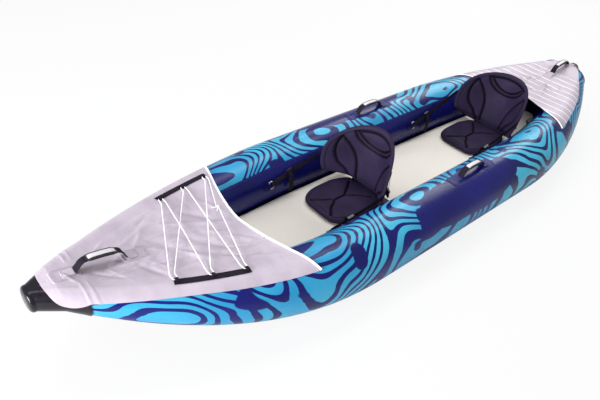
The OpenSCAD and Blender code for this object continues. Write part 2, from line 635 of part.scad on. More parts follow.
// Seat base: crowned, drawn in at the sides and front, with a sewn channel that forks at both ends
base_edge = 5;
base_back_w = 0.84;
base_widest = 0.4;
base_draw = 0.34;
base_draw_from = 0.55;
base_draw_power = 2.6;
base_side_power = 5;
base_end_power = 6;
base_crown = 0.35;
base_rise = 1.6;
under_rise = 1.6;
fork_aft = 0.45;
fork_fore = 0.7;
fork_spread = 2;
fork_w = 0.09;
fork_end = 0.06;
fork_fade = 9;
base_half_us = [0.08, 0.2, 0.34, 0.5, 0.66, 0.82, 0.94, 1];
base_us = concat([for (u = flip(base_half_us)) -u], [0], base_half_us);
base_vs = [0, 0.06, 0.14, 0.24, 0.34, 0.42, 0.5, 0.58, 0.66, 0.76, 0.86, 0.94, 1];
under_vs = [0, 0.08, 0.5, 0.92, 1];
floor_room = 0.6;
floor_lift = gap + floor_room;
function base_half(v) = base_w / 2 * lerp(base_back_w, 1, ease(v / base_widest))
  * (1 - base_draw * pow(clamp01((v - base_draw_from) / (1 - base_draw_from)), base_draw_power));
function base_round(u, v) = sqrt(domed(u, base_side_power) * domed(2 * v - 1, base_end_power));
function fork(v) = fork_spread * max(fork_aft - v, v - fork_fore, 0);
function base_channel(u, v) = channel_d * groove(abs(u), fork(v), fork_w)
  * ease((v - fork_end) * fork_fade) * ease((1 - fork_end - v) * fork_fade);
function base_point(hx, u, v, top) = let (x = hx + base_gap + v * base_l,
  r = base_round(u, v), z = floor_top(x) + floor_lift, side_t = base_edge + edge_t,
  crown = (base_t - side_t) * ease(base_crown + v * base_rise) - base_channel(u, v))
  [x, u * base_half(v), top ? z + side_t + crown * r : z + base_edge * (1 - ease(r * under_rise))];
module seat_base(hx) {
  loft([for (u = base_us) concat([for (v = base_vs) base_point(hx, u, v, true)],
    [for (v = flip(under_vs)) base_point(hx, u, v, false)])]);
}

// Cloth hinge in the seam between base and backrest
hinge_w = 190;
hinge_t = 1.2;
hinge_bed = hinge_t / 2 + gap;
// Points up the base's back edge and across the backrest's lower edge
hinge_rise = [[0, -6], [0, -1], [-3, 3.2]];
hinge_cross = [4, -5];
module seat_hinge(hx, lean) {
  on_base = [for (p = hinge_rise) [hx + base_gap - hinge_bed + p[0], 0, seam_z(hx) + p[1]]];
  under_back = [for (n = hinge_cross) back_space(hx, lean, 0, seam_gap - hinge_bed, n)];
  path = concat(on_base, under_back);
  ribbon(path, [for (p = path) [0, 1, 0]], hinge_w, hinge_t);
}

// Webbing tails with end clips that hang behind each backrest
tail_u = 0.72;
tail_vs = [0.82, 0.72, 0.62, 0.52, 0.44];
tail_off = [1.7, 2.2, 4, 9, 16];
tail_du = 0.04;
tail_trim = 5;
clip = [8, 27, 34];
clip_turn = 30;
module back_tails(hx, lean) {
  for (side = [-1, 1]) {
    rows = [for (e = [-1, 0, 1]) [for (k = [0:len(tail_vs) - 1])
      back_point(hx, lean, side * (tail_u + e * tail_du), tail_vs[k], -1, tail_off[k])]];
    path = rows[1];
    ribbon(path, rows[2] - rows[0], webbing_w - tail_trim, webbing_t);
    translate(path[len(path) - 1] - [0, 0, clip[2] / 2]) rotate([0, 0, -clip_turn * side])
      cube(clip, center = true);
  }
}
module front_seat_base() { color(charcoal) seat_base(front_seat_x); }
module rear_seat_base() { color(charcoal) seat_base(rear_seat_x); }
module front_seat_back() { color(charcoal) backrest(front_seat_x, front_lean); }
module rear_seat_back() { color(charcoal) backrest(rear_seat_x, rear_lean); }
module front_seat_hinge() { color(soot) seat_hinge(front_seat_x, front_lean); }
module rear_seat_hinge() { color(soot) seat_hinge(rear_seat_x, rear_lean); }
module front_seat_tails() { color(soot) back_tails(front_seat_x, front_lean); }
module rear_seat_tails() { color(soot) back_tails(rear_seat_x, rear_lean); }

// Strap rings on round patches on the tubes' inner walls, drawn for starboard and mirrored for port
wall_angle = 15;
wall_patch_r = 34;
wall_patch_t = 1.5;
wall_room = 0.6;
wall_lift = gap + wall_room;
wall_fn = 360;
ring_h = 8.4;
ring_r = 17;
ring_reach = 6;
sleeve_wall = 1.7;
sleeve_l = 22;
sleeve_play = 0.4;
aft = 180;
yaw_step = 5;
function wall_y(x) = -(tube_c(x) - tube_r(x) * cos(wall_angle));
function wall_point(x) = [x, wall_y(x), tube_z(x) + tube_r(x) * sin(wall_angle)];
function wall_yaw(x) = atan2(wall_y(x + yaw_step) - wall_y(x - yaw_step), 2 * yaw_step);
module on_wall(x, pitch) {
  translate(wall_point(x)) rotate([0, 0, wall_yaw(x)])
    rotate([wall_angle - 90, 0, 0]) rotate([0, 0, aft + pitch]) children();
}
function wall_turn(x, pitch, p) = turn_z(wall_yaw(x), turn_x(wall_angle - 90, turn_z(aft + pitch, p)));
function from_wall(x, pitch, p) = wall_point(x) + wall_turn(x, pitch, p);
front_pitch = 13;
rear_pitch = 14;
module both_sides() {
  children();
  mirror([0, 1, 0]) children();
}
module ring_patch(x, pitch) {
  r = tube_r(x) + wall_lift;
  eye_r = ring_wire_d / 2 + sleeve_play;
  sleeve_r = eye_r + sleeve_wall;
  sleeve_z = wall_lift + wall_patch_t / 2;
  on_wall(x, pitch) {
    intersection() {
      rotate([0, 0, -aft - pitch])
        translate([0, 0, -tube_r(x)]) rotate([0, 90, 0])
          difference() {
            cylinder(r = r + wall_patch_t, h = 3 * wall_patch_r, center = true, $fn = wall_fn);
            cylinder(r = r, h = 4 * wall_patch_r, center = true, $fn = wall_fn);
          }
      cylinder(r = wall_patch_r, h = wall_patch_r);
    }
    difference() {
      union() {
        translate([0, 0, ring_h]) rotate([90, 0, 0]) cylinder(r = sleeve_r, h = sleeve_l, center = true);
        translate([-sleeve_r, -sleeve_l / 2, sleeve_z]) cube([2 * sleeve_r, sleeve_l, ring_h - sleeve_z]);
      }
      translate([0, 0, ring_h]) rotate([90, 0, 0]) cylinder(r = eye_r, h = 2 * sleeve_l, center = true);
    }
  }
}
module strap_ring(x, pitch) {
  on_wall(x, pitch) translate([0, 0, ring_h]) {
    rotate([90, 0, 0]) cylinder(d = ring_wire_d, h = 2 * ring_r, center = true);
    for (e = [-1, 1]) translate([0, e * ring_r, 0]) {
      sphere(d = ring_wire_d);
      rotate([0, 90, 0]) cylinder(d = ring_wire_d, h = ring_reach);
    }
    translate([ring_reach, 0, 0]) rotate([0, 0, -90])
      rotate_extrude(angle = 180) translate([ring_r, 0]) circle(d = ring_wire_d);
  }
}
module ring_patches() {
  color(navy) both_sides() {
    ring_patch(front_ring_x, front_pitch);
    ring_patch(rear_ring_x, rear_pitch);
  }
}
module strap_rings() {
  color(steel) both_sides() {
    strap_ring(front_ring_x, front_pitch);
    strap_ring(rear_ring_x, rear_pitch);
  }
}

// Seat straps: doubled through the ring, through a ladder buckle and out to the back of a wing
strap_h = ring_h + ring_wire_d / 2 + webbing_t / 2 + gap;
under_h = ring_h - ring_wire_d / 2 - webbing_t / 2 - gap;
fold_x = 9.5;
fold_side = 1;
fold_round = 1.5;
fold_flat = 5;
lap_l = 72;
lap_lift = 1;
buckle_x = 120;
buckle_flat = 20;
bar_d = 4;
bar_pitch = 11;
bar_over = 2;
bar_off = bar_d / 2 + webbing_t / 2 + gap;
plate_t = 2.4;
plate_over = 3;
strap_v = 0.52;
strap_off = 2.2;
strap_us = [1.03, 0.97, 0.9, 0.83];
// Where the free tail leaves the buckle and how it falls: along, off the wall and down
tail_from = 9;
tail_turn = 8;
tail_rise = 2;
tail_fall = [[-2, 7, -9], [-4, 10, -26], [-5, 11, -0.6 * tail_l], [-3, 9, -tail_l]];
lap_points = [[lap_l, under_h + lap_lift], [fold_x + fold_flat, under_h],
  [fold_x + fold_side, under_h + fold_round], [fold_x, ring_h]];
head_points = [[fold_x + fold_side, strap_h - fold_round], [fold_x + fold_flat, strap_h],
  [buckle_x - buckle_flat, strap_h], [buckle_x + buckle_flat, strap_h]];
function strap_head(x, pitch) = [for (p = concat(lap_points, head_points))
  from_wall(x, pitch, [p[0], 0, p[1]])];
// The last points run round the wing's edge and along its rear face
function strap_wing(hx, lean) = [for (u = strap_us)
  let (e = min(u, back_u), y = e * back_w / 2, s = lerp(back_low(y), back_high(y), strap_v))
    back_space(hx, lean, -u * back_w / 2, s, back_n(e, strap_v, -1) - strap_off)];
module seat_strap(x, pitch, hx, lean) {
  head = strap_head(x, pitch);
  wing_end = strap_wing(hx, lean);
  up = wall_turn(x, pitch, [0, 1, 0]);
  back_up = [-sin(lean), 0, cos(lean)];
  across = concat([for (p = head) up], [for (p = wing_end) back_up]);
  ribbon(concat(head, wing_end), across, webbing_w, webbing_t);
  top = strap_h + bar_off + bar_d / 2 + gap + webbing_t / 2;
  start = from_wall(x, pitch, [buckle_x + tail_from, 0, top]);
  fall = from_wall(x, pitch, [buckle_x - tail_turn, 0, top + tail_rise]);
  ribbon(concat([start, fall], [for (p = tail_fall) fall + p]),
    concat([up, up + [0.5, 0, 0]], [for (p = tail_fall) [1, 0, 0.05]]), webbing_w, webbing_t);
}
module ladder_buckle(x, pitch) {
  on_wall(x, pitch) translate([buckle_x, 0, strap_h]) {
    for (j = [-1, 0, 1])
      translate([j * bar_pitch, 0, (j == 0 ? 1 : -1) * bar_off])
        rotate([90, 0, 0]) cylinder(d = bar_d, h = webbing_w + bar_over, center = true);
    for (e = [-1, 1])
      translate([0, e * (webbing_w / 2 + gap + plate_t / 2), 0])
        cube([2 * bar_pitch + bar_d + plate_over, plate_t, 2 * bar_off + bar_d], center = true);
  }
}
module front_strap() { seat_strap(front_ring_x, front_pitch, front_seat_x, front_lean); }
module rear_strap() { seat_strap(rear_ring_x, rear_pitch, rear_seat_x, rear_lean); }
module front_starboard_strap() { color(soot) front_strap(); }
module front_port_strap() { color(soot) mirror([0, 1, 0]) front_strap(); }
module rear_starboard_strap() { color(soot) rear_strap(); }
module rear_port_strap() { color(soot) mirror([0, 1, 0]) rear_strap(); }
module front_starboard_buckle() { color(steel) ladder_buckle(front_ring_x, front_pitch); }
module front_port_buckle() { color(steel) mirror([0, 1, 0]) ladder_buckle(front_ring_x, front_pitch); }
module rear_starboard_buckle() { color(steel) ladder_buckle(rear_ring_x, rear_pitch); }
module rear_port_buckle() { color(steel) mirror([0, 1, 0]) ladder_buckle(rear_ring_x, rear_pitch); }

// Air valves: body welded in the opening, sprung stem and turning cap, drawn on Z and set on each chamber
flange_t = 3;
neck_h = 12;
barrel_r = 13;
barrel_d = 20;
bore_r = 9;
lip_t = 3;
rod_r = 2.4;
rod_clear = 0.05;
button_r = 5;
button_t = 3;
button_sink = 1;
button_z = stem_travel - button_sink;
poppet_r = 8;
poppet_t = 4;
vent_r = 1.6;
vent_count = 6;
wire_d = 1;
coil_r = 4;
coil_turns = 4;
coil_steps = 8;
coil_sides = 6;
valve_cap_gap = 0.35;
valve_cap_wall = 2.4;
valve_cap_room = 2;
valve_cap_r = neck_r + valve_cap_gap + valve_cap_wall;
valve_cap_z = neck_h + valve_cap_room;
ribs = 12;
rib_r = 1;
valve_lift = 2 * gap;
function valve_seat(x) = let (r = tube_r(x) * cos(180 / tube_sides))
  [x, tube_c(x) + r * cos(valve_angle), tube_z(x) + r * sin(valve_angle)];
// The chambers slope here, so each valve leans with its wall
cell_fore = valve_cell / 2 - valve_at;
cell_aft = -valve_cell / 2 - valve_at;
valve_way = turn_x(90 - valve_angle, valve_seat(cell_fore) - valve_seat(cell_aft));
floor_way = floor_top(cell_fore) - floor_top(cell_aft);
module on_port_valve() {
  translate(valve_seat(-valve_at)) rotate([valve_angle - 90, 0, 0])
    rotate([0, -atan2(valve_way[2], valve_way[0]), 0]) translate([0, 0, valve_lift]) children();
}
module on_tube_valve(side) {
  if (side > 0) on_port_valve() children();
  else mirror([0, 1, 0]) on_port_valve() children();
}
module on_floor_valve() {
  translate([-valve_at, 0, floor_top(-valve_at)])
    rotate([0, -atan2(floor_way, valve_cell), 0]) translate([0, 0, valve_lift]) children();
}
module valve_body() {
  difference() {
    union() {
      cylinder(r = flange_r, h = flange_t);
      cylinder(r = neck_r, h = neck_h);
      translate([0, 0, -barrel_d]) cylinder(r = barrel_r, h = barrel_d + flange_t / 2);
    }
    translate([0, 0, lip_t - barrel_d]) cylinder(r = bore_r, h = barrel_d + neck_h);
    translate([0, 0, -2 * barrel_d]) cylinder(r = rod_r + rod_clear, h = 2 * barrel_d);
    for (i = [0:vent_count - 1])
      rotate(360 * i / vent_count) translate([(bore_r + rod_r) / 2, 0, -2 * barrel_d])
        cylinder(r = vent_r, h = 2 * barrel_d);
  }
}
module valve_stem() {
  translate([0, 0, -barrel_d - poppet_t]) cylinder(r = rod_r, h = barrel_d + poppet_t + button_z);
  translate([0, 0, button_z]) cylinder(r = button_r, h = button_t);
  translate([0, 0, -barrel_d - poppet_t]) cylinder(r = poppet_r, h = poppet_t - gap);
}
module valve_spring() {
  lo = lip_t - barrel_d + wire_d / 2 + gap / 2;
  hi = button_z - wire_d / 2 - gap / 2;
  n = coil_steps * coil_turns;
  coil = [for (i = [0:n]) let (a = 360 * i / coil_steps)
    [coil_r * cos(a), coil_r * sin(a), lerp(lo, hi, i / n)]];
  cord(coil, wire_d, coil_sides);
}
module valve_cap() {
  difference() {
    union() {
      translate([0, 0, flange_t + gap])
        cylinder(r = valve_cap_r, h = valve_cap_z + valve_cap_wall - flange_t - gap);
      for (i = [0:ribs - 1])
        rotate(360 * i / ribs) translate([valve_cap_r, 0, flange_t + gap + rib_r])
          cylinder(r = rib_r, h = valve_cap_z - flange_t);
    }
    cylinder(r = neck_r + valve_cap_gap, h = valve_cap_z);
  }
}
module port_valve_body() { color(soot) on_tube_valve(1) valve_body(); }
module port_valve_cap() { color(soot) on_tube_valve(1) valve_cap(); }
module port_valve_stem() { color(chalk) on_tube_valve(1) valve_stem(); }
module port_valve_spring() { color(steel) on_tube_valve(1) valve_spring(); }
module starboard_valve_body() { color(soot) on_tube_valve(-1) valve_body(); }
module starboard_valve_cap() { color(soot) on_tube_valve(-1) valve_cap(); }
module starboard_valve_stem() { color(chalk) on_tube_valve(-1) valve_stem(); }
module starboard_valve_spring() { color(steel) on_tube_valve(-1) valve_spring(); }
module floor_valve_body() { color(soot) on_floor_valve() valve_body(); }
module floor_valve_cap() { color(soot) on_floor_valve() valve_cap(); }
module floor_valve_stem() { color(chalk) on_floor_valve() valve_stem(); }
module floor_valve_spring() { color(steel) on_floor_valve() valve_spring(); }

port_tube();
starboard_tube();
air_floor();
hull_bottom();
bow_cap();
stern_cap();
front_deck();
rear_deck();
front_deck_piping();
rear_deck_piping();
port_lace_strip();
starboard_lace_strip();
deck_lacing();
bow_handle_patches();
bow_handle_strap();
bow_handle_grip();
stern_handle_patches();
stern_handle_strap();
stern_handle_grip();
port_handle_patches();
port_handle_strap();
port_handle_grip();
starboard_handle_patches();
starboard_handle_strap();
starboard_handle_grip();
ring_patches();
strap_rings();
front_seat_base();
front_seat_back();
front_seat_hinge();
front_seat_tails();
rear_seat_base();
rear_seat_back();
rear_seat_hinge();
rear_seat_tails();
front_port_strap();
front_starboard_strap();
rear_port_strap();
rear_starboard_strap();
front_port_buckle();
front_starboard_buckle();
rear_port_buckle();
rear_starboard_buckle();
port_valve_body();
port_valve_cap();
port_valve_stem();
port_valve_spring();
starboard_valve_body();
starboard_valve_cap();
starboard_valve_stem();
starboard_valve_spring();
floor_valve_body();
floor_valve_cap();
floor_valve_stem();
floor_valve_spring();
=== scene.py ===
import json
import math

import bpy
import numpy as np
from mathutils import Matrix, Vector


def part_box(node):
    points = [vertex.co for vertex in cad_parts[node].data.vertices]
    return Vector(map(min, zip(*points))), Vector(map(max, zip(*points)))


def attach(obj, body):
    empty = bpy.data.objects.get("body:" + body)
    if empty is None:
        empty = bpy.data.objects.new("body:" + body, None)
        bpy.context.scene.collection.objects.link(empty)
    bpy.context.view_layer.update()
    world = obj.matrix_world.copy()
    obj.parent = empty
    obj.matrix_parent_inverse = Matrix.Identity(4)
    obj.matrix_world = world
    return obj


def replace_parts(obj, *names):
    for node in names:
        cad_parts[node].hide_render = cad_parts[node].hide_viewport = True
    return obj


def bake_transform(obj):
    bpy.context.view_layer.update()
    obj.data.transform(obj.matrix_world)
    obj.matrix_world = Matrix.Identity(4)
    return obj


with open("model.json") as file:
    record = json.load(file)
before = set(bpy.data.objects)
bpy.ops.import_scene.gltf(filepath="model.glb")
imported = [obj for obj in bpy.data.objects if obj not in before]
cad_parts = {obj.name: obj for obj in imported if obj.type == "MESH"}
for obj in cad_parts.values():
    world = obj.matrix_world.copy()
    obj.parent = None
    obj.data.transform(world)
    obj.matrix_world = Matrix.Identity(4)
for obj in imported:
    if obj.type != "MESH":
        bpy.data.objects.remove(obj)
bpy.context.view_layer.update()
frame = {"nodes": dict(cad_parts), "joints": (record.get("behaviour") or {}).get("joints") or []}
nodes = frame["nodes"]
scene = bpy.context.scene
scene.view_settings.view_transform = "Standard"
print("frame in place with", len(nodes), "solids")

# camera, as fitted to the photograph
shot = {"place": (1.8962, 1.2761, 1.6345), "yaw": -135.182, "pitch": -38.194, "roll": 7.286, "lens": 33.37,
        "sensor": 36}


def setCamera():
    yaw, pitch, roll = (math.radians(shot[k]) for k in ("yaw", "pitch", "roll"))
    ahead = Vector((math.cos(yaw) * math.cos(pitch), math.sin(yaw) * math.cos(pitch), math.sin(pitch)))
    level = Vector((math.sin(yaw), -math.cos(yaw), 0))
    over = level.cross(ahead)
    side = level * math.cos(roll) + over * math.sin(roll)
    top = over * math.cos(roll) - level * math.sin(roll)
    bpy.ops.object.select_all(action="DESELECT")
    bpy.ops.object.camera_add()
    camera = bpy.context.object
    camera.name = "shotCamera"
    turned = Matrix((side, top, -ahead)).transposed().to_4x4()
    camera.matrix_world = Matrix.Translation(shot["place"]) @ turned
    camera.data.sensor_width = shot["sensor"]
    camera.data.lens = shot["lens"]
    scene.camera = camera


setCamera()


# shader sums: a socket that adds Math nodes when it is used in an expression
class Wire:
    def __init__(self, tree, socket=None):
        self.tree, self.socket = tree, socket

    def node(self, kind, settings=None, values=None, output=0):
        made = self.tree.nodes.new(kind)
        for key, value in (settings or {}).items():
            setattr(made, key, value)
        for key, value in (values or {}).items():
            if isinstance(value, Wire):
                self.tree.links.new(value.socket, made.inputs[key])
            else:
                made.inputs[key].default_value = value
        return Wire(self.tree, made.outputs[output] if made.outputs else None)

    def calc(self, operation, a, b=0.0):
        return self.node("ShaderNodeMath", {"operation": operation}, {0: a, 1: b})

    def __add__(self, other):
        return self.calc("ADD", self, other)

    def __sub__(self, other):
        return self.calc("SUBTRACT", self, other)

    def __rsub__(self, other):
        return self.calc("SUBTRACT", other, self)

    def __mul__(self, other):
        return self.calc("MULTIPLY", self, other)

    def __truediv__(self, other):
        return self.calc("DIVIDE", self, other)

    def __pow__(self, other):
        return self.calc("POWER", self, other)

    __radd__, __rmul__ = __add__, __mul__

    def most(self, other):
        return self.calc("MAXIMUM", self, other)

    def size(self):
        return self.calc("ABSOLUTE", self)

    def sine(self):
        return self.calc("SINE", self)

    def step(self, low, high):
        return self.node("ShaderNodeMapRange", {"interpolation_type": "SMOOTHSTEP"},
                         {0: self, 1: low, 2: high})

    def wave(self, pitch):
        return self.calc("PINGPONG", self / pitch, 0.5)

    def xyz(self):
        made = self.tree.nodes.new("ShaderNodeSeparateXYZ")
        self.tree.links.new(self.socket, made.inputs[0])
        return [Wire(self.tree, s) for s in made.outputs]

    def spot(self, name="Object"):
        return self.node("ShaderNodeTexCoord", output=name)

    def chart(self):
        # a piece's own flat coordinates, whole and as their first two parts
        place = self.spot("UV")
        return [place, *place.xyz()[:2]]

    def spread(self, place, scale, detail=2.0, output=0):
        return self.node("ShaderNodeTexNoise", values={"Vector": place, "Scale": scale, "Detail": detail},
                         output=output)

    def tinted(self, low, high):
        return self.node("ShaderNodeMix", {"data_type": "RGBA"}, {0: self, 6: low, 7: high}, output=2)

    def stretched(self, scale):
        return self.node("ShaderNodeMapping", values={"Vector": self, "Scale": scale})

    def bumped(self, depth, strength=1.0):
        return self.node("ShaderNodeBump", values={"Height": self, "Distance": depth, "Strength": strength})


def tint(red, green, blue):
    # a screen colour as the scene's linear one
    return (*((c / 255 / 12.92) if c <= 10 else ((c / 255 + 0.055) / 1.055) ** 2.4
              for c in (red, green, blue)), 1)


def look(colour, rough, normal, specular=0.5, metal=0.0):
    return {"Base Color": colour, "Roughness": rough, "Normal": normal, "Specular IOR Level": specular,
            "Metallic": metal}


def newFinish(name, build):
    material = bpy.data.materials.new(name)
    material.use_nodes = True
    material.node_tree.nodes.clear()
    wire = Wire(material.node_tree)
    shell = wire.node("ShaderNodeBsdfPrincipled", values=build(wire))
    wire.node("ShaderNodeOutputMaterial", values={"Surface": shell})
    return material


# air tubes: navy skin with a print of ripples, like the rings of a pond, on the upper and outer side
tubePrint = {
    "navy": tint(20, 23, 108), "deepNavy": tint(12, 15, 78), "teal": tint(36, 134, 184),
    "paleTeal": tint(70, 180, 212), "girth": 0.823, "printFrom": 0.055, "printTo": 0.617,
    "ripplePitch": 0.085, "inkFrom": 0.2, "islandFrom": 0.36, "bareAt": (-0.05, 0.335),
    "bareSize": (0.36, 0.105),
}


def tubeSkin(w):
    place, along, around = w.chart()
    turn = around / tubePrint["girth"]
    flat = place.stretched((1, 1.15, 1))
    swirl = w.node("ShaderNodeVectorMath", {"operation": "MULTIPLY_ADD"}, {
        0: w.spread(flat, 3.1, 1.0, output=1), 1: (0.30, 0.30, 0), 2: flat})
    ripple = w.spread(swirl, 2.3, 0.0) * 1.35 + along * 0.35
    strokes = ripple.wave(tubePrint["ripplePitch"])
    fine = w.spread(place.stretched((4, 26, 1)), 1.0)
    inked = (strokes + (fine - 0.5) * 0.16).step(tubePrint["inkFrom"], tubePrint["inkFrom"] + 0.02)
    islands = w.spread(flat, 4.2, 1.0).step(tubePrint["islandFrom"], tubePrint["islandFrom"] + 0.015)
    dx = (along - tubePrint["bareAt"][0]) / tubePrint["bareSize"][0]
    dy = (around - tubePrint["bareAt"][1]) / tubePrint["bareSize"][1]
    bare = (dx ** 2 + dy ** 2 + (w.spread(flat, 6.0, 1.0) - 0.5) * 0.9).step(0.98, 1.0)
    zone = turn.step(tubePrint["printFrom"], tubePrint["printFrom"] + 0.003) * (
        1 - turn.step(tubePrint["printTo"], tubePrint["printTo"] + 0.003))
    ink = inked * islands * bare * zone
    teal = w.spread(flat, 2.0).step(0.3, 0.7).tinted(tubePrint["teal"], tubePrint["paleTeal"])
    ground = w.spread(flat, 1.6).step(0.35, 0.65).tinted(tubePrint["navy"], tubePrint["deepNavy"])
    colour = ink.tinted(ground, teal)
    seam = 1 - (turn - tubePrint["printTo"] - 0.012).size().step(0.0, 0.004)
    seam = seam.most(1 - (turn - tubePrint["printFrom"] + 0.02).size().step(0.0, 0.004))
    grain = w.spread(place, 900.0)
    soft = w.spread(place, 14.0)
    return look(colour, 0.2 + soft * 0.10 + grain * 0.06,
                (grain * 0.12 + seam * 0.9 + soft * 0.4).bumped(0.0008), 0.28)


def plainSkin(w):
    place = w.spot()
    soft = w.spread(place, 9.0, 3.0)
    grain = w.spread(place, 900.0)
    return look(soft.step(0.3, 0.7).tinted(tubePrint["deepNavy"], tubePrint["navy"]), 0.3 + grain * 0.12,
                (grain * 0.2 + soft).bumped(0.0006), 0.18)


# air floor: cream, with the small raised squares of its woven face and painted shade on the sunken lines
# between them
floorFace = {"cream": tint(250, 246, 237), "paintedGapShade": tint(230, 224, 214), "pitch": 0.0075}


def floorSkin(w):
    place, along, across = w.chart()
    squares = ((along + across).wave(floorFace["pitch"]) * (along - across).wave(floorFace["pitch"])) * 4
    worn = w.spread(place, 6.0, 4.0)
    thread = w.spread(place, 1400.0, 1.0)
    # painted shade: darker on the sunken lines between the squares, over a random worn tone
    colour = (squares.step(0.05, 0.5) * 0.75 + worn * 0.25).tinted(floorFace["paintedGapShade"], floorFace["cream"])
    return look(colour, 0.55 + thread * 0.15, (squares + thread * 0.2).bumped(0.0006, 0.8))


# nose caps: black moulded rubber
capLook = {"black": tint(10, 7, 14), "rubbed": tint(28, 22, 36)}


def capRubber(w):
    place = w.spot()
    cloud = w.spread(place, 18.0, 4.0)
    pores = w.spread(place, 700.0)
    rubbed = (w.spread(place, 60.0, 6.0) * w.spread(place, 5.0)).step(0.27, 0.36)
    return look((cloud * 0.35 + rubbed * 0.4).tinted(capLook["black"], capLook["rubbed"]),
                0.16 + cloud * 0.1 + pores * 0.06, (pores * 0.3 + cloud).bumped(0.0007), 0.36)


# decks: pale coated cloth, the rear one with thin light cross lines
deckLook = {"pale": tint(194, 183, 197), "dim": tint(173, 161, 177), "line": tint(250, 249, 252),
            "linesFrom": -1.42, "linesTo": -0.945, "linePitch": 0.0545}


def deckCloth(w, lined=False):
    place, along, across = w.chart()
    weave = (along * 2600).sine() * (across * 2600).sine()
    cloud = w.spread(place, 7.0, 4.0)
    crease = w.spread(place.stretched((16, 7, 1)), 1.0, 5.0)
    colour = (cloud * 0.7 + crease * 0.3).step(0.25, 0.75).tinted(deckLook["dim"], deckLook["pale"])
    if lined:
        line = 1 - ((along - deckLook["linesFrom"]) / deckLook["linePitch"]).wave(1.0).step(0.035, 0.055)
        line = line * along.step(deckLook["linesFrom"] - 0.004, deckLook["linesFrom"]) * (
            1 - along.step(deckLook["linesTo"], deckLook["linesTo"] + 0.004))
        colour = line.tinted(colour, deckLook["line"])
    return look(colour, 0.32 + cloud * 0.12, (crease * 1.6 + weave * 0.04 + cloud * 1.5).bumped(0.0022))


def weldedPatch(w):
    _, along, across = w.chart()
    ridge = 1 - ((along - 0.5).size().most((across - 0.5).size()) - 0.425).size().step(0.0, 0.035)
    cloud = w.spread(w.spot(), 40.0, 3.0)
    return look((cloud * 0.6 + ridge * 0.4).tinted(deckLook["dim"], deckLook["pale"]), 0.34 + cloud * 0.1,
                (ridge * 1.5 + cloud).bumped(0.0012))


def whitePiping(w):
    place, along, _ = w.chart()
    soft = w.spread(place, 60.0, 3.0)
    return look(soft.tinted(tint(243, 242, 246), tint(255, 255, 255)), 0.35 + soft * 0.15,
                ((along * 700).sine() * 0.2 + soft).bumped(0.0004))


# webbing: black ribbed weave
webLook = {"black": tint(22, 18, 27), "thread": tint(44, 38, 52), "rib": 0.0016}


def webbing(w):
    place, along, across = w.chart()
    ribs = along.wave(webLook["rib"]) * 2
    twill = (along + across * 1.7).wave(webLook["rib"] * 1.6) * 2
    worn = w.spread(place, 45.0, 4.0)
    return look((ribs * 0.4 + twill * 0.3 + worn * 0.3).tinted(webLook["black"], webLook["thread"]),
                0.62 + worn * 0.2, (ribs + twill * 0.7).bumped(0.0004), 0.1)


def braidedCord(w):
    place, along, around = w.chart()
    braid = (along * 0.5 + around).wave(0.0021) * (along * 0.5 - around).wave(0.0021) * 4
    worn = w.spread(place, 90.0, 3.0)
    return look((braid * 0.6 + worn * 0.4).tinted(tint(240, 240, 246), tint(255, 255, 255)),
                0.6 + worn * 0.2, braid.bumped(0.0005))


# grip sleeves: dark edging and a pale panel on top
gripLook = {"dark": tint(28, 23, 34), "pale": tint(232, 228, 231), "dot": tint(188, 183, 190),
            "length": 0.1, "girth": 0.0793}


def gripSleeve(w):
    place, along, around = w.chart()
    ends = 1 - (along / gripLook["length"] - 0.5).size().step(0.44, 0.45)
    panel = ends * (1 - (around / gripLook["girth"] - 0.5).size().step(0.118, 0.126))
    knit = (along * 3000).sine() * (around * 3000).sine()
    soft = w.spread(place, 120.0, 3.0)
    dots = w.spread(place, 420.0).step(0.42, 0.58).tinted(gripLook["dot"], gripLook["pale"])
    colour = panel.tinted(gripLook["dark"], dots)
    return look(colour, 0.5 + soft * 0.2, (panel * 0.8 + knit * 0.15 + soft * 0.4).bumped(0.0007))


# seat pads: dark foam faced with fine knit, with painted shade near-black in the sewn grooves and the hem
# groove
seatLook = {"dark": tint(29, 22, 44), "light": tint(52, 42, 73), "binding": tint(24, 19, 31),
            "seam": tint(3, 2, 6)}


def seatCloth(w):
    place, along, across = w.chart()
    knit = (along * 2400).sine() * (across * 2400).sine()
    cloud = w.spread(place, 9.0, 4.0)
    fuzz = w.spread(place, 420.0)
    # painted shade: the sewn attribute turns the cloth near-black in the grooves
    sewn = w.node("ShaderNodeAttribute", {"attribute_name": "sewn"}, output="Fac")
    cloth = (cloud * 0.6 + fuzz * 0.4).step(0.2, 0.8).tinted(seatLook["dark"], seatLook["light"])
    return look(sewn.tinted(cloth, seatLook["seam"]), 0.5 + fuzz * 0.2,
                (knit * 0.25 + fuzz * 0.5 + cloud * 0.6).bumped(0.0006), 0.15)


def seatBinding(w):
    place, along, _ = w.chart()
    stitch = along.wave(0.006).step(0.1, 0.3)
    fuzz = w.spread(place, 300.0)
    return look((fuzz * 0.5 + stitch * 0.3).tinted(seatLook["binding"], seatLook["light"]),
                0.65 + fuzz * 0.15, (stitch * 0.4 + fuzz * 0.6).bumped(0.0005), 0.1)


def brightWire(w):
    place = w.spot()
    drawn = w.spread(place.stretched((900, 900, 60)), 1.0)
    spots = w.spread(place, 160.0, 4.0)
    return look(spots.tinted(tint(176, 178, 184), tint(214, 216, 220)), 0.2 + drawn * 0.14,
                drawn.bumped(0.0001), metal=1.0)


def darkSteel(w):
    place = w.spot()
    spots = w.spread(place, 160.0, 4.0)
    return look(spots.tinted(tint(70, 70, 78), tint(112, 112, 120)), 0.24 + spots * 0.1,
                spots.bumped(0.0001), metal=1.0)


def mouldedBlack(w):
    place = w.spot()
    cloud = w.spread(place, 60.0, 4.0)
    grain = w.spread(place, 1500.0, 1.0)
    return look(cloud.tinted(tint(22, 21, 25), tint(40, 38, 44)), 0.38 + cloud * 0.12 + grain * 0.06,
                (grain * 0.4 + cloud).bumped(0.0003))


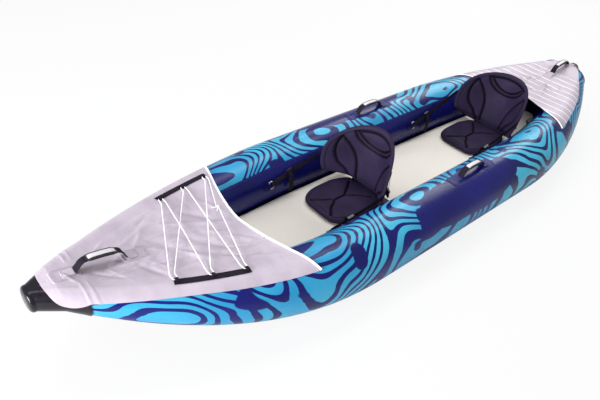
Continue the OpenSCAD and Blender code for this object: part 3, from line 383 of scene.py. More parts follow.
def mouldedWhite(w):
    place = w.spot()
    cloud = w.spread(place, 80.0, 4.0)
    return look(cloud.tinted(tint(222, 221, 224), tint(246, 246, 248)), 0.35 + cloud * 0.15,
                cloud.bumped(0.0002))


finishes = {f.__name__: newFinish(f.__name__, f) for f in (
    tubeSkin, plainSkin, floorSkin, capRubber, deckCloth, weldedPatch, whitePiping, webbing, braidedCord,
    gripSleeve, seatCloth, seatBinding, brightWire, darkSteel, mouldedBlack, mouldedWhite)}
finishes["linedCloth"] = newFinish("linedCloth", lambda w: deckCloth(w, True))
print("finishes mixed:", len(finishes))


# ways of making a mesh: a grid whose points are drawn over a shape
def unit(rows):
    return rows / np.maximum(np.linalg.norm(rows, axis=-1, keepdims=True), 1e-9)


def clip01(t):
    return np.clip(t, 0, 1)


def ease(t):
    t = clip01(t)
    return t * t * (3 - 2 * t)


def mix(a, b, t):
    return a + (b - a) * t


def bell(t, wide):
    return np.exp(-(t / wide) ** 2)


def fromSegment(px, py, start, end):
    # how far along a segment the nearest point is, from 0 to 1, and how far away
    (ax, ay), (bx, by) = start, end
    t = clip01(((px - ax) * (bx - ax) + (py - ay) * (by - ay)) / ((bx - ax) ** 2 + (by - ay) ** 2))
    return t, np.hypot(px - ax - t * (bx - ax), py - ay - t * (by - ay))


def laySurface(name, columns, rows, shape, chart=None, closed=False, marks=None):
    bpy.ops.object.select_all(action="DESELECT")
    bpy.ops.mesh.primitive_grid_add(x_subdivisions=columns, y_subdivisions=rows, size=2)
    piece = bpy.context.object
    piece.name = piece.data.name = name
    mesh = piece.data
    flat = np.empty(len(mesh.vertices) * 3, np.float32)
    mesh.vertices.foreach_get("co", flat)
    u, v = (flat.reshape(-1, 3)[:, :2].T.astype(float) + 1) / 2
    mesh.vertices.foreach_set("co", np.asarray(shape(u, v), np.float32).ravel())
    corners = np.empty(len(mesh.loops), np.int32)
    mesh.loops.foreach_get("vertex_index", corners)
    places = np.stack(chart(u, v) if chart else (u, v), 1)[corners]
    mesh.uv_layers.active.data.foreach_set("uv", places.astype(np.float32).ravel())
    # the sewn attribute carries painted shade, for the seat grooves
    if marks:
        sewn = mesh.attributes.new("sewn", "FLOAT", "POINT")
        sewn.data.foreach_set("value", np.asarray(marks(u, v), np.float32))
    mesh.update()
    if closed:
        bpy.ops.object.mode_set(mode="EDIT")
        bpy.ops.mesh.select_all(action="SELECT")
        bpy.ops.mesh.remove_doubles(threshold=0.00002)
        bpy.ops.mesh.normals_make_consistent(inside=False)
        bpy.ops.object.mode_set(mode="OBJECT")
    return piece


def thicken(piece, wall, offset):
    bpy.context.view_layer.objects.active = piece
    wallMaker = piece.modifiers.new("wall", "SOLIDIFY")
    wallMaker.thickness, wallMaker.offset = wall, offset
    bpy.ops.object.modifier_apply(modifier=wallMaker.name)
    return piece


def joined(name, pieces):
    bpy.ops.object.select_all(action="DESELECT")
    for piece in pieces:
        piece.select_set(True)
    bpy.context.view_layer.objects.active = pieces[0]
    bpy.ops.object.join()
    pieces[0].name = pieces[0].data.name = name
    return pieces[0]


def dress(piece, finish, body=None, stands=(), crease=50):
    piece.data.materials.clear()
    piece.data.materials.append(finishes[finish])
    bpy.ops.object.select_all(action="DESELECT")
    piece.select_set(True)
    bpy.context.view_layer.objects.active = piece
    bpy.ops.object.shade_smooth_by_angle(angle=math.radians(crease))
    if stands:
        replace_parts(piece, *stands)
    if body:
        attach(piece, body)
    return piece


def closing(u, columns, ends):
    # how far along a closed block, and 0 to 1 over the columns that close its ends
    along = clip01((u * columns - ends) / (columns - 2 * ends))
    return along, clip01(np.minimum(u, 1 - u) * columns / ends)


def boxSection(v, half, high, radius):
    # round a rounded box section from the middle of its underside, and how high up its side a point is
    w, h = np.mean(half - radius), np.mean(high - radius)
    arc = math.pi * np.mean(radius) / 2
    marks = np.cumsum([0, w, arc, 2 * h, arc, 2 * w, arc, 2 * h, arc, w])
    marks = marks / marks[-1]
    turn = np.radians(np.interp(v, marks, [-90, -90, 0, 0, 90, 90, 180, 180, 270, 270]))
    flatY = np.interp(v, marks, [0, 1, 1, 1, 1, -1, -1, -1, -1, 0])
    flatZ = np.interp(v, marks, [-1, -1, -1, 1, 1, 1, 1, -1, -1, -1])
    y = flatY * (half - radius) + radius * np.cos(turn)
    return y, flatZ * (high - radius) + radius * np.sin(turn), flatZ


def roundedLine(points, reach, steps=7):
    # straight runs with rounded corners; columns after the third ride along
    points = np.asarray(points, float)
    line = [points[0]]
    for a, b, c in zip(points, points[1:], points[2:]):
        back, on = np.linalg.norm((a - b)[:3]), np.linalg.norm((c - b)[:3])
        p, q = mix(b, a, min(reach / back, 0.45)), mix(b, c, min(reach / on, 0.45))
        line += [(1 - t) ** 2 * p + 2 * t * (1 - t) * b + t * t * q for t in np.linspace(0, 1, steps)]
    return np.array(line + [points[-1]])


def curved(line, steps=8):
    # a smooth line through a few points
    p = np.asarray(line, float)
    p = np.vstack([2 * p[0] - p[1], p, 2 * p[-1] - p[-2]])
    out = []
    for a, b, c, d in zip(p, p[1:], p[2:], p[3:]):
        for t in np.linspace(0, 1, steps, endpoint=False):
            out.append(0.5 * (2 * b + (c - a) * t + (2 * a - 5 * b + 4 * c - d) * t ** 2
                              + (3 * b - a - 3 * c + d) * t ** 3))
    return np.array(out + [p[-2]])


def evenSteps(line, count):
    steps = np.r_[0, np.cumsum(np.linalg.norm(np.diff(line[:, :3], axis=0), axis=1))]
    even = np.linspace(0, steps[-1], count)
    return np.stack([np.interp(even, steps, column) for column in line.T], 1), steps[-1]


def cordAlong(name, line, radius, count, around=10):
    path, length = evenSteps(np.asarray(line, float), count + 1)
    ahead = unit(np.gradient(path, axis=0))
    side = unit(np.cross(ahead, (0, 0, 1)))
    over = np.cross(side, ahead)
    ends = np.ones(count + 1)
    ends[[0, -1]] = 0

    def shape(u, v):
        k = np.rint(u * count).astype(int)
        a = (2 * np.pi * v)[:, None]
        return path[k] + (radius * ends[k])[:, None] * (np.cos(a) * side[k] + np.sin(a) * over[k])

    return laySurface(name, count, around, shape, lambda u, v: (u * length, v * 2 * np.pi * radius), True)


def strapAlong(name, line, width, thick, count, around=20):
    # line holds places and, after them, the way across
    path, length = evenSteps(np.asarray(line, float), count + 1)
    place = path[:, :3]
    ahead = unit(np.gradient(place, axis=0))
    across = path[:, 3:] - ahead * np.sum(path[:, 3:] * ahead, 1, keepdims=True)
    across = unit(across)
    over = np.cross(ahead, across)

    def shape(u, v):
        column = np.rint(u * (count + 2)).astype(int)
        k = np.clip(column - 1, 0, count)
        body = ((column > 0) & (column < count + 2))[:, None]
        a, b, _ = boxSection(v, width / 2, thick / 2, thick * 0.45)
        return place[k] + body * (a[:, None] * across[k] + b[:, None] * over[k])

    return laySurface(name, count + 2, around, shape,
                      lambda u, v: (u * length, v * 2 * (width + thick)), True)


# hull lines: radius, axis and height of the tubes and lift of the keel, at any station
hull = {
    "radius": 0.131, "axis": 0.321, "bowTaper": 0.508, "sternTaper": 0.562, "bowTip": 1.688,
    "sternTip": 1.712, "bowRise": 0.308, "sternRise": 0.240, "bowLift": 0.638, "sternLift": 0.557,
    "skin": 0.0019, "tubeBow": 1.6118, "tubeStern": 1.5908, "end": 1.7, "apart": 0.0006,
    "bowThin": (0.105, 2.3), "sternThin": (0.088, 2.1), "bowClose": (0.317, 2), "sternClose": (0.313, 1.8),
}


def towardsBow(x):
    return clip01((x - hull["bowTaper"]) / (hull["bowTip"] - hull["bowTaper"]))


def towardsStern(x):
    return clip01((-x - hull["sternTaper"]) / (hull["sternTip"] - hull["sternTaper"]))


def taken(x, bow, stern):
    # what the two ends take off, each given as an amount and a power
    return bow[0] * towardsBow(x) ** bow[1] + stern[0] * towardsStern(x) ** stern[1]


def tubeRadius(x):
    return hull["radius"] - taken(x, hull["bowThin"], hull["sternThin"])


def tubeAxis(x):
    closing = hull["axis"] - taken(x, hull["bowClose"], hull["sternClose"])
    return np.maximum(tubeRadius(x) + hull["apart"], closing)


def keelRise(x):
    bow = clip01((x - hull["bowLift"]) / (hull["bowTip"] - hull["bowLift"]))
    stern = clip01((-x - hull["sternLift"]) / (hull["sternTip"] - hull["sternLift"]))
    return hull["bowRise"] * bow ** 2 + hull["sternRise"] * stern ** 2


def tubeHeight(x):
    return keelRise(x) + hull["skin"] + tubeRadius(x)


tubeMesh = {"along": 400, "around": 96, "dome": 0.016, "stern": 1.576}


def airTube(name, side):
    def station(u):
        return mix(-tubeMesh["stern"], hull["tubeBow"], u)

    def shape(u, v):
        x = station(u)
        inside = clip01(np.minimum(x + tubeMesh["stern"], hull["tubeBow"] - x) / tubeMesh["dome"])
        r = tubeRadius(x) * np.sqrt(1 - (1 - inside) ** 2)
        a = np.radians(360 * v - 90)
        return np.stack([x, side * (tubeAxis(x) + r * np.cos(a)), tubeHeight(x) + r * np.sin(a)], 1)

    tube = laySurface(name, tubeMesh["along"], tubeMesh["around"], shape,
                      lambda u, v: (station(u), v * tubePrint["girth"]), True)
    return dress(tube, "tubeSkin", "hull", [name])


airTube("port_tube", 1)
airTube("starboard_tube", -1)

# bottom skin between the tubes
bottomSkin = {"along": 160, "across": 24, "wall": 0.0016}


def hullBottom():
    low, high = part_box("hull_bottom")

    def shape(u, v):
        x = mix(low.x, high.x, u)
        return np.stack([x, (2 * v - 1) * tubeAxis(x), keelRise(x) + bottomSkin["wall"] / 2], 1)

    skin = laySurface("hull_bottom", bottomSkin["along"], bottomSkin["across"], shape)
    thicken(skin, bottomSkin["wall"], 0)
    return dress(skin, "plainSkin", "hull", ["hull_bottom"])


hullBottom()

# air floor
airFloor = {"fore": 1.18, "aft": 1.15, "thick": 0.075, "lift": 0.0022, "gap": 0.002, "round": 0.07,
            "bulge": 0.006, "edge": 0.012, "narrow": 0.3, "girth": 0.98, "along": 300, "around": 120,
            "endRows": 4}


def floorTop(x):
    return keelRise(x) + airFloor["lift"] + airFloor["thick"]


def floorHalf(x):
    h = tubeHeight(x) - floorTop(x)
    e = np.minimum(airFloor["fore"] - x, x + airFloor["aft"])
    wall = tubeAxis(x) - np.sqrt(tubeRadius(x) ** 2 - h ** 2) - airFloor["gap"]
    return wall * (1 - airFloor["narrow"] * clip01(1 - e / airFloor["round"]) ** 2)


def layFloor():
    total, ends = airFloor["along"], airFloor["endRows"]

    def station(u):
        return mix(-airFloor["aft"], airFloor["fore"], closing(u, total, ends)[0])

    def shape(u, v):
        x = station(u)
        e = np.minimum(airFloor["fore"] - x, x + airFloor["aft"])
        pulled = 1 - clip01(e / airFloor["edge"])
        inset = airFloor["edge"] * (1 - np.sqrt(1 - pulled ** 2))
        k = closing(u, total, ends)[1]
        half, high = floorHalf(x) - airFloor["bulge"] - inset, airFloor["thick"] / 2 - inset
        y, z, side = boxSection(v, half, high, airFloor["edge"])
        y = y + np.sign(y) * airFloor["bulge"] * (1 - side ** 2)
        return np.stack([x, y * k, floorTop(x) - airFloor["thick"] / 2 + z * k], 1)

    floor = laySurface("air_floor", total, airFloor["around"], shape,
                       lambda u, v: (station(u), v * airFloor["girth"]), True)
    return dress(floor, "floorSkin", "hull", ["air_floor"])


layFloor()

# nose caps
capMesh = {"bowRim": 1.553, "sternRim": 1.56, "off": 0.0034, "wall": 0.0024,
           "bowNose": (0.020, 0.047, 0.0385, 0.005), "sternNose": (0.032, 0.036, 0.032, 0.017),
           "blunt": 3.4, "drawIn": 1.2, "lip": 0.0012, "lipAt": 0.006, "lipWide": 0.004, "along": 70,
           "around": 96}


def capSection(x):
    # half width, half height and height of the middle, outside
    n0, n1, n2, n3 = (np.where(x > 0, b, s) for b, s in zip(capMesh["bowNose"], capMesh["sternNose"]))
    tubeEnd = np.where(x > 0, hull["tubeBow"], -hull["tubeStern"])
    full = hull["end"] - n0
    e = np.where(np.abs(x) < np.abs(tubeEnd), x, tubeEnd)
    start = np.where(x > 0, tubeEnd, capMesh["sternRim"])
    s = clip01((np.abs(x) - start) / (full - start)) ** np.where(x > 0, 1, capMesh["drawIn"])
    c = (1 - clip01((np.abs(x) - full) / n0) ** capMesh["blunt"]) ** (1 / capMesh["blunt"])
    wide = mix(tubeAxis(e) + tubeRadius(e) + capMesh["off"], n1, s)
    high = mix(tubeRadius(e) + capMesh["off"], n2, s)
    return wide * c, high * c, mix(tubeHeight(e), tubeHeight(tubeEnd) + n3, s)


def noseCap(name, end, rim):
    def shape(u, v):
        x = end * mix(rim, hull["end"], np.sin(np.pi / 2 * u))
        wide, high, middle = capSection(x)
        marks = np.array([0, 0.1, 0.5, 0.6, 1.0])   # flat below, side, flat above, other side
        at = (v + marks[1] / 2) % 1
        turn = np.radians(np.interp(at, marks, [-90, -90, 90, 90, 270]))
        flat = np.interp(at, marks, [-1, 1, 1, -1, -1])
        lip = capMesh["lip"] * bell(np.abs(x) - rim - capMesh["lipAt"], capMesh["lipWide"])
        r = high + lip
        return np.stack([x, flat * (wide - high) + r * np.cos(turn), middle + r * np.sin(turn)], 1)

    cap = laySurface(name, capMesh["along"], capMesh["around"], shape, None, True)
    thicken(cap, capMesh["wall"], -1)
    return dress(cap, "capRubber", "hull", [name], 60)


noseCap("bow_cap", 1, capMesh["bowRim"])
noseCap("stern_cap", -1, capMesh["sternRim"])
print("hull blown up")

# decks: cloth glued over the tubes and noses, with slack folds between
deck = {"cloth": 0.0009, "gap": 0.0012, "capLift": 0.0018, "ramp": 0.09, "along": 220, "across": 180,
        "frontEdge": 0.933, "frontSweep": 0.097, "frontTongue": 1.553, "frontTongueLong": 0.095,
        "rearEdge": 1.034, "rearSweep": 0.124, "rearTongue": 1.596, "rearTongueLong": 0.046,
        "rampEnd": 0.006, "frontWrap": 54, "frontWiden": 28, "frontWidenFrom": 0.365,
        "frontWidenOver": 0.37, "frontRound": 2.3, "tip": 0.0006, "rearWrap": 57, "rearNarrow": 40,
        "rearNarrowOver": 0.323, "rearTipLong": 0.049, "body": 0.72}


def deckBase(x):
    rim = np.where(x > 0, capMesh["bowRim"], capMesh["sternRim"])
    wide, high, middle = capSection(x)
    onCap = ease((np.abs(x) - rim + deck["ramp"]) / (deck["ramp"] - deck["rampEnd"]))
    lift = mix(deck["gap"], capMesh["off"] + deck["capLift"], onCap)
    open_ = np.abs(x) < rim
    return (np.where(open_, tubeAxis(x), wide - high),
            np.where(open_, tubeRadius(x) + lift, high + deck["capLift"]),
            np.where(open_, tubeHeight(x), middle))


def onDeck(x, d, o):
    flat, r, middle = deckBase(x)
    a = np.maximum(np.abs(d) - flat, 0) / r
    y = np.where(np.abs(d) <= flat, d, np.sign(d) * (flat + (r + o) * np.sin(a)))
    return np.stack([x + 0 * d, y, middle + (r + o) * np.cos(a)], -1)


def wrapReach(x, angle):
    flat, r, _ = deckBase(x)
    return flat + r * np.radians(90 - angle)


def frontGirth(x):
    beyond = x - deck["frontTongue"]
    wrap = deck["frontWrap"] - deck["frontWiden"] * clip01(
        (beyond + deck["frontWidenFrom"]) / deck["frontWidenOver"]) ** 2
    past = clip01(beyond / (deck["frontTongueLong"] + deck["tip"]))
    ending = (1 - past ** deck["frontRound"]) ** (1 / deck["frontRound"])
    return wrapReach(np.minimum(x, deck["frontTongue"]), wrap) * ending


def rearGirth(x):
    beyond, over = -x - deck["rearTongue"], deck["rearNarrowOver"]
    wrap = deck["rearWrap"] + deck["rearNarrow"] * clip01((beyond + over) / over) ** 1.5
    ending = (1 - clip01(beyond / deck["rearTipLong"])) ** 0.5
    return wrapReach(np.maximum(x, -deck["rearTongue"]), wrap) * ending


# folds in the cloth: from, to (along and across), width and height
frontFolds = [
    ((1.43, -0.09), (1.13, -0.21), 0.016, 0.0026), ((1.40, -0.04), (1.22, -0.13), 0.013, 0.0022),
    ((1.20, -0.10), (0.97, 0.00), 0.014, 0.0024), ((1.36, 0.05), (1.30, 0.16), 0.014, -0.0022),
    ((1.17, -0.02), (1.05, 0.12), 0.020, -0.0030), ((1.10, -0.14), (1.00, -0.03), 0.018, -0.0030),
    ((1.22, 0.04), (1.13, 0.15), 0.013, 0.0024), ((1.04, 0.05), (0.95, 0.14), 0.015, 0.0022),
    ((1.28, -0.05), (1.20, 0.05), 0.022, -0.0028), ((1.58, 0.00), (1.55, 0.06), 0.008, 0.0014),
    ((1.34, -0.02), (1.27, -0.10), 0.012, 0.0020), ((1.14, 0.10), (1.02, 0.19), 0.012, -0.0020),
    ((1.00, -0.16), (0.95, -0.05), 0.016, 0.0022), ((1.08, 0.00), (1.00, 0.06), 0.012, 0.0020),
    ((1.50, -0.03), (1.42, -0.09), 0.010, 0.0016)]
rearFolds = [
    ((-1.12, -0.12), (-1.32, -0.02), 0.020, 0.0020), ((-1.10, 0.10), (-1.28, 0.03), 0.018, 0.0020),
    ((-1.36, -0.05), (-1.42, 0.05), 0.012, 0.0016), ((-1.20, 0.02), (-1.27, 0.14), 0.016, -0.0022),
    ((-1.40, 0.06), (-1.52, 0.02), 0.009, 0.0014), ((-1.08, -0.04), (-1.16, 0.06), 0.020, -0.0026)]

fold = {"rise": 2.5, "narrow": 0.75, "ends": 0.35, "fineWide": (0.005, 0.011), "fineLong": (0.05, 0.16),
        "fineRise": 0.0016, "fineTurn": 0.55, "fineSpread": 0.8, "glued": 0.98, "gluedOver": 0.05,
        "ripple": 0.0007, "sag": 0.004, "sagFrom": 0.1}
weld = {"at": (1.531, 1.552), "from": 0.045, "over": 0.02, "wide": 0.0032, "rise": 0.0018}


def fineFolds(seed, fromX, toX, count):
    draw = np.random.default_rng(seed)
    made = []
    for _ in range(count):
        x = draw.uniform(fromX, toX)
        d = draw.uniform(-fold["fineSpread"], fold["fineSpread"]) * float(deckBase(np.array(x))[0])
        turn, long = draw.normal(0, fold["fineTurn"]), draw.uniform(*fold["fineLong"])
        end = (x - long * math.cos(turn), d + long * math.sin(turn))
        made.append(((x, d), end, draw.uniform(*fold["fineWide"]), draw.uniform(-1, 1) * fold["fineRise"]))
    return made


frontFolds += fineFolds(3, 0.98, 1.52, 60)
rearFolds += fineFolds(5, -1.52, -1.05, 24)


def slack(x, d, folds):
    height = np.zeros_like(x)
    for start, end, width, rise in folds:
        t, away = fromSegment(x, d, start, end)
        along = fold["ends"] + (1 - fold["ends"]) * np.sin(np.pi * t)
        height += fold["rise"] * rise * bell(away / width, fold["narrow"]) * along
    flat = deckBase(x)[0]
    # no slack where the cloth is glued to a tube
    loose = clip01((flat * fold["glued"] - np.abs(d)) / fold["gluedOver"])
    ripple = np.sin(61 * x + 37 * d + 2 * np.sin(23 * d)) * np.sin(47 * d - 29 * x + 1.7 * np.sin(31 * x))
    sag = clip01(1 - (d / np.maximum(flat, 0.02)) ** 2) * clip01((flat - fold["sagFrom"]) / fold["sagFrom"])
    ridge = sum(bell(x - at, weld["wide"]) for at in weld["at"])
    ridge = ridge * ease((np.abs(d) - weld["from"]) / weld["over"])
    return (height + fold["ripple"] * ripple - fold["sag"] * sag) * loose + weld["rise"] * ridge


def layDeck(name, finish, edge, tongue, tongueLong, girth, folds):
    way = 1 if tongue > 0 else -1

    # the tongue's length is signed, so the rear one turns back over the end of its own sheet
    def spot(u, v):
        t = 2 * v - 1
        out = clip01((u - deck["body"]) / (1 - deck["body"]))
        x = np.where(u <= deck["body"], mix(edge(t), tongue, u / deck["body"]),
                     tongue + way * tongueLong * np.sin(np.pi / 2 * out))
        return x, way * t * girth(x)

    def shape(u, v):
        x, d = spot(u, v)
        return onDeck(x, d, deck["cloth"] / 2 + slack(x, d, folds))

    cloth = laySurface(name, deck["along"], deck["across"], shape, spot)
    thicken(cloth, deck["cloth"], 0)
    dress(cloth, finish, "hull", [name])
    return cloth


def frontEdge(t):
    return deck["frontEdge"] - deck["frontSweep"] * np.abs(t) ** 1.5


def rearEdge(t):
    return deck["rearSweep"] * np.abs(t) ** 1.3 - deck["rearEdge"]


layDeck("front_deck", "deckCloth", frontEdge, deck["frontTongue"], deck["frontTongueLong"], frontGirth,
        frontFolds)
layDeck("rear_deck", "linedCloth", rearEdge, -deck["rearTongue"], -deck["rearTongueLong"], rearGirth,
        rearFolds)

piping = {"radius": 0.003, "out": 0.003, "over": 0.003, "steps": 220, "tape": 0.0028, "tapeThick": 0.0007,
          "tapeLift": 0.0004}


def edgePiping(name, edge, girth, folds, way):
    t = np.linspace(-1, 1, piping["steps"])
    x = edge(t)
    d = t * girth(x)
    line = onDeck(x - way * piping["out"], d, piping["over"] + slack(x, d, folds))

    def tape(u, v):
        k = 2 * u - 1
        a = edge(k) + way * v * piping["tape"]
        b = k * girth(a)
        return onDeck(a, b, deck["cloth"] + piping["tapeLift"] + slack(a, b, folds))

    hem = laySurface(name + "_tape", piping["steps"], 4, tape, lambda u, v: (u, v * piping["tape"]))
    trim = cordAlong(name, line, piping["radius"], piping["steps"], 12)
    whole = joined(name, [trim, thicken(hem, piping["tapeThick"], 0)])
    return dress(whole, "whitePiping", "hull", [name])


edgePiping("front_deck_piping", frontEdge, frontGirth, frontFolds, 1)
edgePiping("rear_deck_piping", rearEdge, rearGirth, rearFolds, -1)

# lacing: webbing strips with loops, and one cord through them
lacing = {"stripWide": 0.025, "stripLong": 0.247, "web": 0.0016, "inset": 0.004, "starboardX": 1.012,
          "portX": 1.183, "pitch": 0.113, "loop": (0.0105, 0.0095), "loopIn": 0.005, "loopWide": 0.0138,
          "cord": 0.0019, "knot": (0.964, -0.0838, 0.2791), "lift": 0.0003, "loopTurn": (-8, 188),
          "loopSteps": 25, "bend": 0.012, "knotSize": 0.00165, "tail": 0.026,
          "tails": ((-20, 0.4), (50, 0.9))}
laceRoute = (
    (968, -85.8, 279.1), (890, -256.2, 272.4), (890, -274.2, 272.4), (893, -281.3, 272.5),
    (905, -281.4, 273), (908, -274.2, 273.2), (908, -256.2, 273.2), (1041, -34.5, 292.1),
    (1174, 187.3, 294.2), (1174, 205.3, 294.2), (1177, 212.3, 294.5), (1189, 212.5, 295.7),
    (1192, 205.3, 296.1), (1192, 187.3, 296.1), (1154, -8.5, 300.7), (1116, -204.3, 288.4),
    (1116, -222.3, 288.4), (1119, -229.4, 288.7), (1131, -229.6, 289.8), (1134, -222.3, 290.2),
    (1134, -204.3, 290.2), (1305, 149.6, 309.4), (1305, 167.6, 309.4), (1302, 174.9, 308.9),
    (1290, 174.7, 307.5), (1287, 167.6, 307.2), (1287, 149.6, 307.2), (1021, -233.2, 280.4),
    (1021, -251.2, 280.4), (1018, -258.4, 280.1), (1006, -258.2, 279.2), (1003, -251.2, 279),
    (1003, -233.2, 279), (1079, 219.1, 285.1), (1079, 237.1, 285.1), (1076, 244.3, 284.7),
    (1064, 244.2, 283.8), (1061, 237.1, 283.5), (1061, 219.1, 283.5), (962, -80.8, 279.1))   # millimetres


def laceStrip(name, side, middle):
    x = middle + lacing["stripLong"] * np.linspace(-0.5, 0.5, 40)
    m = side * (deckBase(x)[0] + lacing["inset"])
    over = deck["cloth"] + lacing["lift"] + lacing["web"] / 2
    across = onDeck(x, m + 0.01, over) - onDeck(x, m - 0.01, over)
    laid = np.hstack([onDeck(x, m, over), across])
    parts = [strapAlong(name, laid, lacing["stripWide"], lacing["web"], 60)]
    for j in (-1, 0, 1):
        at = np.array([middle + j * lacing["pitch"]])
        foot = onDeck(at, side * (deckBase(at)[0] + lacing["inset"]), over)[0]
        a = np.radians(np.linspace(*lacing["loopTurn"], lacing["loopSteps"]))
        long, high = lacing["loop"]
        arch = np.stack([0 * a, long * np.cos(a) - side * lacing["loopIn"], high * np.sin(a)], 1) + foot
        bent = np.hstack([arch, np.tile((1.0, 0, 0), (len(a), 1))])
        parts.append(strapAlong(name, bent, lacing["loopWide"], lacing["web"], 28))
    return dress(joined(name, parts), "webbing", "hull", [name])


laceStrip("port_lace_strip", 1, lacing["portX"])
laceStrip("starboard_lace_strip", -1, lacing["starboardX"])


def deckLacing():
    route = roundedLine(np.array(laceRoute) / 1000, lacing["bend"])
    parts = [cordAlong("deck_lacing", route, lacing["cord"], 900)]
    knot = np.array(lacing["knot"])
    a = np.linspace(0, 2 * np.pi, 90)
    r = 2 + np.cos(3 * a)
    tied = np.stack([r * np.cos(2 * a), r * np.sin(2 * a), 1.1 * np.sin(3 * a)], 1) * lacing["knotSize"]
    parts.append(cordAlong("knot", tied + knot, lacing["cord"] * 0.95, 120))
    for turn, drop in lacing["tails"]:
        r = np.linspace(0, lacing["tail"], 14)
        way = math.radians(turn)
        tail = np.stack([r * math.cos(way), r * math.sin(way) + 0.003 * np.sin(r * 120),
                         0.001 - drop * r * r * 3], 1)
        parts.append(cordAlong("tail", tail + knot, lacing["cord"], 20))
    return dress(joined("deck_lacing", parts), "braidedCord", "hull", ["deck_lacing"])


deckLacing()
print("decks laced")

# carrying handles: welded patches with pockets, webbing arch, padded grip
handle = {"span": 0.168, "high": 0.036, "grip": 0.1, "gripWide": 0.032, "gripHigh": 0.0105,
          "gripEnd": 0.0046, "gripFade": 0.018, "crown": 0.0025, "web": 0.0034, "webWide": 0.03,
          "patch": (0.09, 0.058), "patchThick": 0.0012, "patchIn": 0.016, "weld": 0.0008,
          "welds": ((0.93, 0.035), (0.74, 0.04)), "pocket": (0.044, 0.04), "pocketHigh": 0.0055,
          "pocketIn": 0.002, "square": 6, "rim": 0.985, "rimLow": -0.0004, "bury": 0.012, "columns": 46,
          "ends": 2}
handles = {
    "bow": ((1.46156, 0, 0.33216), 9.83, "deck"), "stern": ((-1.47771, 0, 0.31514), -6.45, "deck"),
    "port": ((-0.125, 0.321, 0.2665), 0, "tube"), "starboard": ((-0.125, -0.321, 0.2665), 0, "tube")}


def carryHandle(name):
    (cx, cy, cz), slope, under = handles[name]
    tilt = math.radians(slope)
    body = name + "_grip"

    def local(points):
        p = np.asarray(points, float)
        return np.stack([cx + p[:, 0] * math.cos(tilt) - p[:, 2] * math.sin(tilt), cy + p[:, 1],
                         cz + p[:, 0] * math.sin(tilt) + p[:, 2] * math.cos(tilt)], 1)

    def ground(x, y, o):
        # a point o above what the handle is welded to
        if under == "deck":
            folds = frontFolds if cx > 0 else rearFolds
            return onDeck(x, y, deck["cloth"] + o + slack(x, y, folds))
        a = (y - cy) / tubeRadius(x)
        r = tubeRadius(x) + o
        return np.stack([x, cy + r * np.sin(a), tubeHeight(x) + r * np.cos(a)], -1)

    def welded(_, k):
        return handle["patchThick"] + handle["weld"] * sum(bell(k - at, wide) for at, wide in handle["welds"])

    patches, roots = [], []
    for e in (-1, 1):
        footX = cx + e * handle["span"] / 2 * math.cos(tilt)

        def plate(u, v, long, wide, middle, rise):
            # a rounded square drawn over a disc, its rim let down to the surface
            a, b = 2 * u - 1, 2 * v - 1
            k = np.maximum(np.abs(a), np.abs(b))
            power = handle["square"]
            soft = (np.abs(a) ** power + np.abs(b) ** power + 1e-12) ** (1 / power) / np.maximum(k, 1e-9)
            over = np.where(k > handle["rim"], handle["rimLow"], rise(a, k))
            return ground(middle + a / soft * long / 2, cy + b / soft * wide / 2, over)

        def patch(u, v):
            middle = footX + e * (handle["patch"][0] / 2 - handle["patchIn"])
            return plate(u, v, *handle["patch"], middle, welded)

        def raised(a, k):
            # highest where the webbing goes in
            full = (1 - 0.75 * ease((1 + e * a) / 2)) * (1 - 0.35 * clip01((k - 0.7) / 0.3) ** 2)
            return handle["patchThick"] + handle["pocketHigh"] * full

        def pocket(u, v):
            middle = footX + e * (handle["pocket"][0] / 2 - handle["pocketIn"])
            return plate(u, v, *handle["pocket"], middle, raised)

        patches += [laySurface(name + "_patch", 64, 44, patch),
                    laySurface(name + "_pocket", 36, 30, pocket)]
        x = footX + e * np.array([handle["bury"], 0.004])
        roots.append(ground(x, 0 * x + cy, handle["patchThick"] + handle["web"] * np.array([0.2, 0.6])))
    finish, slot = ("weldedPatch", "deck_cloth") if under == "deck" else ("plainSkin", "tube_skin")
    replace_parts(dress(joined(name + "_handle_patches", patches), finish, "hull"),
                name + "_handle_patches")

    for e, root in zip((-1, 1), roots):
        knee, top = handle["grip"] / 2, handle["high"]
        arch = local([(e * (handle["span"] / 2 - 0.007), 0, 0.011), (e * (knee + 0.016), 0, top - 0.0085),
                      (e * (knee - 0.002), 0, top - 0.0006), (e * 0.002, 0, top)])
        line = curved(np.hstack([np.vstack([root, arch]), np.tile((0.0, 1.0, 0.0), (6, 1))]))
        end = "aft" if e < 0 else "fore"
        half = strapAlong(f"{name}_handle_strap_{end}", line, handle["webWide"], handle["web"], 60)
        dress(half, "webbing", None, [name + "_handle_strap"])
        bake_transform(half)

    columns, ends = handle["columns"], handle["ends"]

    def sleeve(u, v):
        t, k = closing(u, columns, ends)
        s = mix(-0.5, 0.5, t) * handle["grip"]
        full = ease((handle["grip"] / 2 - np.abs(s)) / handle["gripFade"])
        high = mix(handle["gripEnd"], handle["gripHigh"], full) / 2
        y, z, _ = boxSection(v, handle["gripWide"] / 2 - 0.0018 * (1 - full), high, high * 0.72)
        crown = handle["crown"] * (1 - (2 * s / handle["grip"]) ** 2)
        return local(np.stack([s, y * k, handle["high"] + crown + z * k], 1))

    grip = laySurface(name + "_handle_grip", columns, 48, sleeve,
                      lambda u, v: (closing(u, columns, ends)[0] * gripLook["length"],
                                    v * gripLook["girth"]), True)
    dress(grip, "gripSleeve", body, [name + "_handle_grip"])


for name in handles:
    carryHandle(name)
print("handles fitted")

